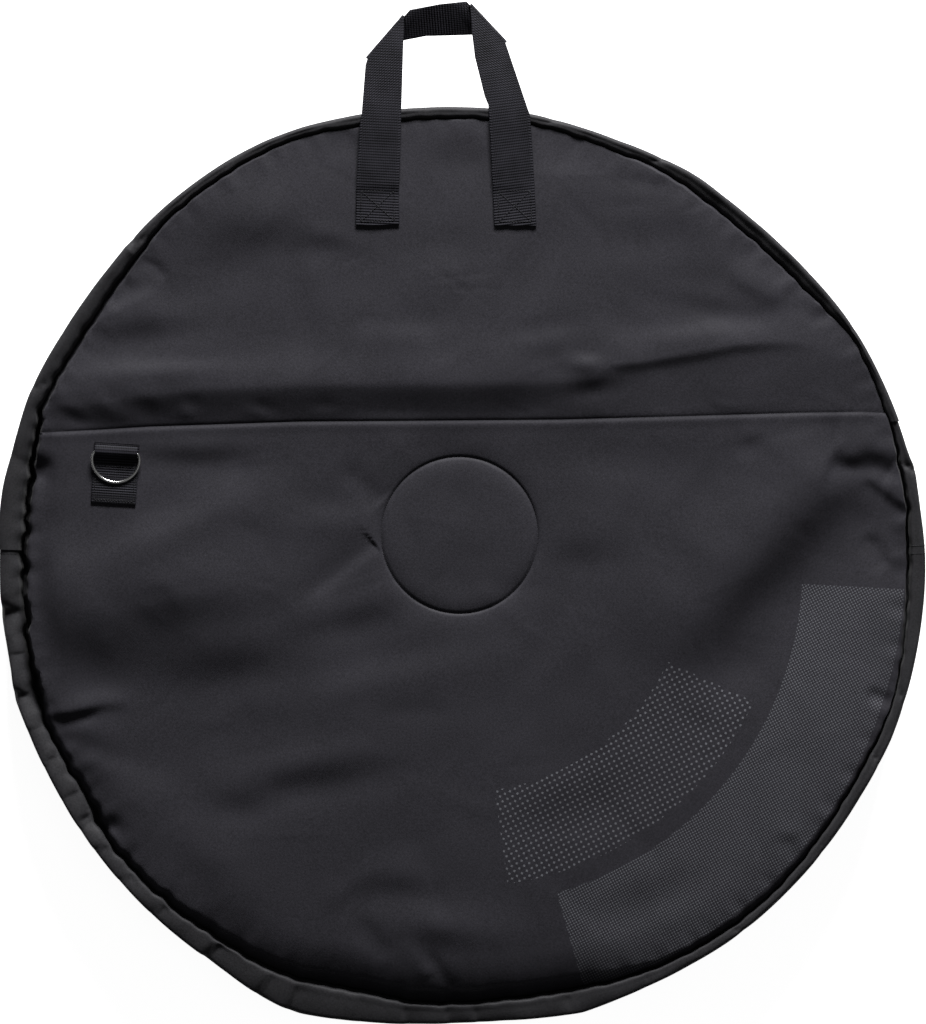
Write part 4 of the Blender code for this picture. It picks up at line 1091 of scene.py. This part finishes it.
def back_side():
    """The back panel's cloth, foam, lining and binding, and the stiff discs of both hub pads."""
    angle = np.linspace(0, 360, 500, endpoint=False)
    seam = back_valley(angle)
    inner = np.concatenate([np.linspace(0.06, 0.74, 10), np.linspace(0.77, 1.0, 10)])
    rings = hubbed_spokes(polar(seam, angle), HUB, 0.076, inner, even_then_rim(0.03, 26))
    make("back_cloth", lens_of(rings, HUB, shifted(back_level, BACK_CLOTH), back_level), "shell", "bag",
         "back_panel", fill=0.4)
    layer("back_padding", "back_foam", polar(seam - FOAM_EDGE, angle), HUB, shifted(back_level, BACK_FOAM[0]),
          lambda x, y: back_level(x, y) + BACK_FOAM[1] + BACK_ROOM * hub_notch(x, y), "foam", fill=0.5)
    layer("back_inside", "back_lining", polar(seam - LINING_EDGE, angle), HUB,
          *(shifted(back_level, face) for face in BACK_LINING), "lining")
    bound_edge("back_edge_binding", "back_seam_binding", 0, 360, "bag", back_valley,
               lambda angle: angle * 0 + BACK_SEAM + 0.0070)
    for side, level, faces in (("back", back_level, BACK_DISC), ("front", lower_level, FRONT_DISC)):
        layer(f"{side}_hub_board", f"{side}_hub_disc", hub_circle(DISC_RADIUS, 160), HUB,
              *(shifted(level, face) for face in faces), "disc", count=12)


front_inside()
back_side()


# ---------------------------------------------------------------- webbing and thread

# Section of the webbing: share of its half width, and share of its thickness
SECTION = np.array([(-0.96, 1.0)] + [(s, 1.0) for s in np.linspace(-0.90, 0.90, 13)]
                   + [(0.96, 1.0), (0.99, 0.86), (1.0, 0.5), (0.99, 0.14), (0.96, 0.0)]
                   + [(s, 0.0) for s in np.linspace(0.90, -0.90, 5)]
                   + [(-0.96, 0.0), (-0.99, 0.14), (-1.0, 0.5), (-0.99, 0.86)])
WIDE, THICK = SECTION.T
FLAT = np.abs(WIDE) < 0.97


def ribbon(left, right, axis, under_at):
    """A length of webbing between two edge lines of the front view, ribbed across its axis. under_at
    gives the height of its underside from the place and the shares along and across."""
    share = np.linspace(0, 1, int(walked(left, np.zeros(1))[1] * STEP / (RIB / 8)))
    edge_a, edge_b = (walked(edge, share)[0][:, None] for edge in (left, right))
    across = WIDE * 0.5 + 0.5
    x, y = seen(*np.moveaxis(edge_a * (1 - across[:, None]) + edge_b * across[:, None], -1, 0))
    axis = np.asarray(axis, float) / math.hypot(*axis)
    run, side = x * axis[0] + y * axis[1], x * -axis[1] + y * axis[0]
    ribs = 0.00016 * np.cos(run * 2 * math.pi / RIB) * FLAT * np.where(THICK > 0.5, 1, -1)
    z = under_at(x, y, share[:, None], across) + WEB_THICK * THICK + ribs
    return tube(np.stack([x, y, z], -1), run, side)


def roll(start, end):
    """Rounded fold of the webbing along a line of the front view, level with the free handle."""
    radius = 0.0019
    share = np.linspace(0, 1, 60)[:, None, None]
    first, last = (np.array([x, y, handle_height(y) - 0.0001]) for x, y in (seen(*start), seen(*end)))
    ahead = (last - first)[:2] / math.hypot(*(last - first)[:2])
    turn = np.linspace(0, 2 * math.pi, 16, endpoint=False)
    sideways = np.stack([-ahead[1] * np.cos(turn), ahead[0] * np.cos(turn), np.sin(turn)], -1)
    return tube(first + (last - first) * share + radius * sideways, share[..., 0] * 0.05, turn * radius)


# The handle in the front view: each leg's outer and inner edge, its lean, and its sewn box; then the
# edges of the band that crosses at the top
HANDLE_LEGS = (
    ("left", (((356, 226.4), (356.5, 191), (360, 127), (362, 114), (365.7, 66), (367.6, 59.7)),
              ((399.6, 225.4), (399, 197), (401.6, 110), (403.6, 40), (404.3, 16.7))), (0.05, 1.0),
     ((361, 222.5), (394.5, 221.5), (394, 192), (361.5, 192))),
    ("right", (((494.1, 226.2), (490.8, 153), (488.2, 106), (484.7, 98), (474.8, 58), (472, 34.5), (470, 6)),
               ((536.2, 226.6), (533.3, 168), (529.9, 116), (527.6, 110), (505.4, 43.6))), (-0.13, 1.0),
     ((499, 222.5), (531.5, 222.5), (530, 192), (497.5, 192))))
CROSS = (((367.6, 59.7), (404, 40), (426, 35.5), (472, 34.5), (505.4, 43.6)),
         ((404.3, 16.7), (410, 10), (440, 4.2), (466.3, 1.5)))
HANDLE_Y = 0.318 + BAG_Y
HANDLE_BEND = ("flap", "handle", (0.0, HANDLE_Y - 0.004, 0.0686), (0.0, HANDLE_Y + 0.006, 0.0686))

# Stitches, in metres: pitch and length in a sewn box, and pitch, length and radius round a hub pad in
# front and behind
BOX_STITCH = (0.0026, 0.0021)
HUB_STITCH, BACK_HUB_STITCH = (0.0019, 0.0015, 0.0003), (0.0030, 0.0023, 0.0003)

# Pairs of corners that a sewn box's lines join: its sides, then its diagonals
BOX = ((0, 1), (1, 2), (2, 3), (3, 0), (0, 2), (1, 3))


def handle_height(y):
    """Underside of the free handle: level over the front, drooping past the rim."""
    past = np.clip((y - 0.365) / 0.112, 0.0, 1.2)
    return 0.0670 - 0.0120 * past ** 1.6


def leg_height(x, y, *_):
    """Underside of a leg: on the panel as far as its free part, which stays above the panel inside the
    rim."""
    on_panel = upper_level(x, y) + 0.0002
    free = smoothstep((y - 0.312) / 0.010)
    return on_panel * (1 - free) + np.maximum(handle_height(y), np.where(y < 0.37, on_panel, 0)) * free


def sagging(_, y, share, across):
    """Underside of the crossing band, which sags between its ends, most at its lower edge."""
    hang = np.sin(math.pi * np.clip(share, 0, 1)) ** 0.8
    return handle_height(y) - 0.0021 - 0.012 * hang * (1 - across) - 0.001 * hang


def spindles(places, heading, tilt, length, radius):
    """Stitches: one slim six-sided spindle at each place, along its heading."""
    share = np.array([-0.42, -0.2, 0.2, 0.42])[:, None]
    girth = np.array([0.6, 1.0, 1.0, 0.6])[:, None, None]
    turn = np.linspace(0, 2 * math.pi, 6, endpoint=False)[:, None]
    lead = np.stack([np.cos(heading), np.sin(heading), tilt], -1)
    lead = (lead / np.linalg.norm(lead, axis=-1)[:, None])[:, None]
    side = np.stack([-np.sin(heading), np.cos(heading), 0 * heading], -1)[:, None]
    up = np.cross(lead, side)
    ring = (side[:, None] * (np.cos(turn) * girth) + up[:, None] * (np.sin(turn) * girth)) * radius
    body = places[:, None, None] + (lead * (share * length))[:, :, None] + ring
    ends = places[:, None] + lead * (np.array([-0.5, 0.5]) * length)[:, None]
    count = len(places)
    points = np.concatenate([body.reshape(count, -1, 3), ends], 1)
    start = (np.arange(count) * points.shape[1])[:, None, None]
    return points.reshape(-1, 3), [(part + start).reshape(-1, part.shape[1])
                                   for part in lens(body[0], *ends[0])[1]]


def stitched(line, level, pitch, length, radius):
    """Stitches along a line of points about the bag's middle, lying on a level."""
    _, whole = walked(line, np.zeros(1))
    count = max(1, int(round(whole / pitch)))
    at, ahead, behind = (walked(line, (np.arange(count) + 0.5) / count + reach / whole)[0]
                         for reach in (0.0, 0.0005, -0.0005))
    heading = np.arctan2(*(ahead - behind).T[::-1])
    tilt = (level(*ahead.T) - level(*behind.T)) / 0.001
    return spindles(lifted(at, level(*at.T) + radius * 0.35), heading, tilt, length, radius)


def box_thread(name, corners, pairs, level, radius, rides):
    """Thread of a sewn box: stitches along lines between its corners."""
    make(name, merged([stitched(corners[list(pair)], level, *BOX_STITCH, radius) for pair in pairs]),
         "thread", rides)


def handle():
    """The handle: two legs sewn on at their ends, folded over at the top into the band between them."""
    lengths = []
    for side, (outer, inner), lean, box in HANDLE_LEGS:
        lengths.append(ribbon(outer, inner, lean, leg_height))
        box_thread(f"handle_{side}_thread", np.stack(seen(*np.transpose(box)), -1), BOX,
                   shifted(upper_level, 0.0002 + WEB_THICK), 0.00034, "flap")
    lengths += [ribbon(*CROSS, (1.0, 0.08), sagging), roll((367.6, 59.7), (404.3, 16.7)),
                roll((505.4, 43.6), (470.0, 5.4))]
    make("carry_handle_webbing", merged(lengths), "webbing", HANDLE_BEND, "handle_left_tab",
         "handle_right_tab", "handle_loop")


handle()


# ---------------------------------------------------------------- ring, its loop and its patch

RING_X, RING_Y, RING_Z = -0.2915, 0.0956, 0.07190841
RING_TURN = math.radians(-3.5)


def from_ring(x, y):
    """Place about the bag's middle of a point in the ring's own directions."""
    c, s = math.cos(RING_TURN), math.sin(RING_TURN)
    return RING_X + c * x - s * y, RING_Y + s * x + c * y


def unit(ways):
    """Directions of the given ways, each one long."""
    return ways / np.hypot(*ways.T)[:, None]


def steel_ring():
    """The D-ring: a straight bar, tight corners, and a round bow. Its wire is swept along that line."""
    wire, half, reach, shoulder, side = 0.00128, 0.0200, 0.0252, 0.0056, 0.0036
    bow = np.linspace(math.pi, 2 * math.pi, 90)
    corner = np.linspace(0, math.pi / 2, 24)[1:]
    line = np.concatenate([
        np.stack([np.linspace(-half + side, half - side, 40), np.zeros(40)], -1),
        np.stack([half - side + side * np.sin(corner), -shoulder + shoulder * np.cos(corner)], -1),
        np.stack([-half * np.cos(bow), -shoulder + (reach - shoulder) * np.sin(bow)], -1)[1:],
        np.stack([-half + side - side * np.cos(corner), -shoulder + shoulder * np.sin(corner)], -1)[:-1]])
    ahead = unit(np.roll(line, -1, 0) - np.roll(line, 1, 0))
    turn = np.linspace(0, 2 * math.pi, 20, endpoint=False)
    x, y = from_ring(line[:, :1] - ahead[:, 1:] * wire * np.cos(turn),
                     line[:, 1:] + ahead[:, :1] * wire * np.cos(turn))
    z = RING_Z - 0.0014 * smoothstep(-line[:, 1:] / reach) + wire * np.sin(turn)
    make("d_ring_wire", ring_tube(np.stack([x, y, z], -1)), "steel", "ring", "d_ring")


def ring_loop():
    """The webbing folded round the ring's bar."""
    half, thick, bend = 0.0180, 0.0013, 0.0025
    around = np.linspace(math.radians(100), math.radians(270), 34)
    back = np.linspace(0.0005, 0.0052, 12)
    sweep, length = walked(np.concatenate([
        np.stack([back[::-1], RING_Z + bend - 0.0015 * (back[::-1] / 0.0052) ** 2], -1),
        np.stack([bend * np.cos(around), RING_Z + bend * np.sin(around)], -1),
        np.stack([back, RING_Z - bend - 0.0002 * back / 0.0052], -1)]), np.linspace(0, 1, 140))
    run = np.linspace(0, length, 140)[:, None]
    ahead = unit(np.gradient(sweep, axis=0))
    lift = thick * (0.5 - THICK) + 0.00028 * np.cos(run * 2 * math.pi / 0.0026) * (THICK < 0.5)
    x, y = from_ring(WIDE * half, sweep[:, :1] - ahead[:, 1:] * lift)
    z = sweep[:, 1:] + ahead[:, :1] * lift
    make("ring_loop_webbing", tube(np.stack([x, y, z], -1), run, WIDE * half), "webbing", "bag", "ring_loop")


def ring_patch():
    """The patch that the ring's loop is sewn to, with its thread."""
    half, bottom, top = 0.0190, -0.0430, 0.0080
    rows = np.linspace(bottom, top, 210)[:, None]
    x, y = from_ring(WIDE * half, rows)
    low = lower_level(x, y) + 0.0002
    high = np.maximum(low + 0.0014, 0.0694 - 0.03 * np.maximum(-rows, 0))
    ribs = 0.00013 * np.cos(rows * 2 * math.pi / 0.0020) * FLAT * (THICK > 0.5)
    z = low + (high - low) * THICK + ribs
    make("ring_patch_webbing", tube(np.stack([x, y, z], -1), rows, WIDE * half), "webbing", "bag",
         "ring_patch")
    across, up = np.array([(-1, -0.0405), (1, -0.0405), (1, -0.012), (-1, -0.012)]).T
    box_thread("ring_patch_thread", np.stack(from_ring(0.0165 * across, up), -1), BOX[:4],
               shifted(lower_level, 0.0016), 0.0003, "bag")


steel_ring()
ring_loop()
ring_patch()


# ---------------------------------------------------------------- stitching on the cloth

def band_stitches(angle):
    """Stitches up the band at one angle of the bag."""
    section = rounded(band_stations(np.array([angle])), np.linspace(0.6, 10.6, 26))[:, 0]
    points = lifted(polar(section[:, 0], angle), section[:, 1])
    ahead = np.gradient(points, axis=0)
    level_run = np.hypot(ahead[:, 0], ahead[:, 1])
    heading = np.arctan2(ahead[:, 1], ahead[:, 0])
    return spindles(points, heading, ahead[:, 2] / np.maximum(level_run, 1e-6), 0.0022, 0.00034)


def stitching():
    """Stitches round the hub pads of the front and the back, and up the band beside its joins."""
    circle = hub_circle(HUB_R * STEP, 720)
    circle = np.concatenate([circle, circle[:1]])
    rows = [stitched(circle, lower_level, *HUB_STITCH),
            stitched(circle, shifted(back_level, -0.0003), *BACK_HUB_STITCH)]
    rows += [band_stitches(even_angle(height, left)(0)) for left in (True, False)
             for height in (JOIN_Y + 0.0035, JOIN_Y - 0.0032)]
    make("shell_thread", merged(rows), "thread", "bag", slot="shell_cloth")


stitching()


# ---------------------------------------------------------------- sliders and pulls of the zip

def slider_looks():
    """Dark paint and rounded edges for the frame's own sliders and pulls."""
    painted = plain("slider_painted", (0.030, 0.030, 0.032), 0.38, metal=0.6, grain=0.2)
    for node in ("zip_slider_left", "zip_slider_right", "zip_pull_left", "zip_pull_right"):
        piece = bpy.data.objects[node]
        piece.data.materials.clear()
        piece.data.materials.append(painted)
        rounding = piece.modifiers.new("edge_rounding", "BEVEL")
        rounding.width, rounding.segments, rounding.limit_method = 0.0003, 3, "ANGLE"


slider_looks()


# ---------------------------------------------------------------- camera, floor, light

def placed(name, data, place):
    """An object of the scene at a place."""
    item = bpy.data.objects.new(name, data)
    item.location = place
    bpy.context.scene.collection.objects.link(item)
    return item


def view_camera():
    """A camera that sees the front view as the photograph does: its frame is the view's height where it
    cuts the bag's front plane."""
    front_plane, distance, sensor = 0.052, 5.0, 36.0
    x, y = seen(VIEW_U / 2, VIEW_V / 2)
    camera = placed("camera", bpy.data.cameras.new("camera"),
                    (float(x), float(y) + BAG_Y, front_plane + distance))
    camera.data.sensor_width = sensor
    camera.data.lens = sensor * distance / (VIEW_V * STEP)
    camera.data.clip_end = 100.0
    bpy.context.scene.camera = camera


def paper_floor():
    """White paper under the bag. The camera sees it with a glow of its own, which lights nothing."""
    half = 12.0
    mesh = bpy.data.meshes.new("floor")
    mesh.from_pydata([(-half, -half, 0), (half, -half, 0), (half, half, 0), (-half, half, 0)], [],
                     [(0, 1, 2, 3)])
    floor = placed("floor", mesh, (0.0, 0.0, -0.0005))
    paper = Finish("floor_paper", Roughness=0.9, Specular_IOR_Level=0.1)
    paper.paint(Base_Color=paper.mix(paper.noise(30.0, 2.0, 0.5), (0.78, 0.78, 0.78), (0.80, 0.80, 0.80)))
    path = paper.add("ShaderNodeLightPath", out="Is Camera Ray")
    glow = paper.add("ShaderNodeEmission", None, Color=(1.0, 1.0, 1.0, 1.0), Strength=0.93)
    bare = Value(paper, paper.shader.outputs[0])
    lit = paper.add("ShaderNodeAddShader", None, bare, glow)
    paper.join(paper.add("ShaderNodeMixShader", None, path, bare, lit),
               paper.tree.nodes["Material Output"].inputs[0])
    mesh.materials.append(paper.material)


def studio_light():
    """A world that is white to the camera and faint to all else, and two soft boxes."""
    world = bpy.data.worlds.new("studio")
    bpy.context.scene.world = world
    world.use_nodes = True
    nodes, links = world.node_tree.nodes, world.node_tree.links
    background = nodes["Background"]
    background.inputs["Color"].default_value = (1.0, 1.0, 1.0, 1.0)
    rays, seen_rays, strength = (nodes.new(kind) for kind in
                                 ("ShaderNodeLightPath", "ShaderNodeMath", "ShaderNodeMapRange"))
    seen_rays.operation = "MAXIMUM"
    strength.inputs["To Min"].default_value, strength.inputs["To Max"].default_value = 0.055, 1.0
    for value, socket in ((rays.outputs["Is Camera Ray"], seen_rays.inputs[0]),
                          (rays.outputs["Is Transmission Ray"], seen_rays.inputs[1]),
                          (seen_rays.outputs[0], strength.inputs["Value"]),
                          (strength.outputs[0], background.inputs["Strength"])):
        links.new(value, socket)
    for name, place, size, size_y, power in (("softbox_top", (0.42, 3.94, 1.62), 1.9, 1.0, 510.0),
                                             ("softbox_front", (0.5, -0.6, 2.9), 2.0, 2.0, 3.0)):
        light = bpy.data.lights.new(name, "AREA")
        light.shape, light.size, light.size_y, light.energy = "RECTANGLE", size, size_y, power
        placed(name, light, place).rotation_euler = (-Vector(place)).to_track_quat("-Z", "Y").to_euler()


bpy.context.scene.view_settings.view_transform = "Standard"
view_camera()
paper_floor()
studio_light()
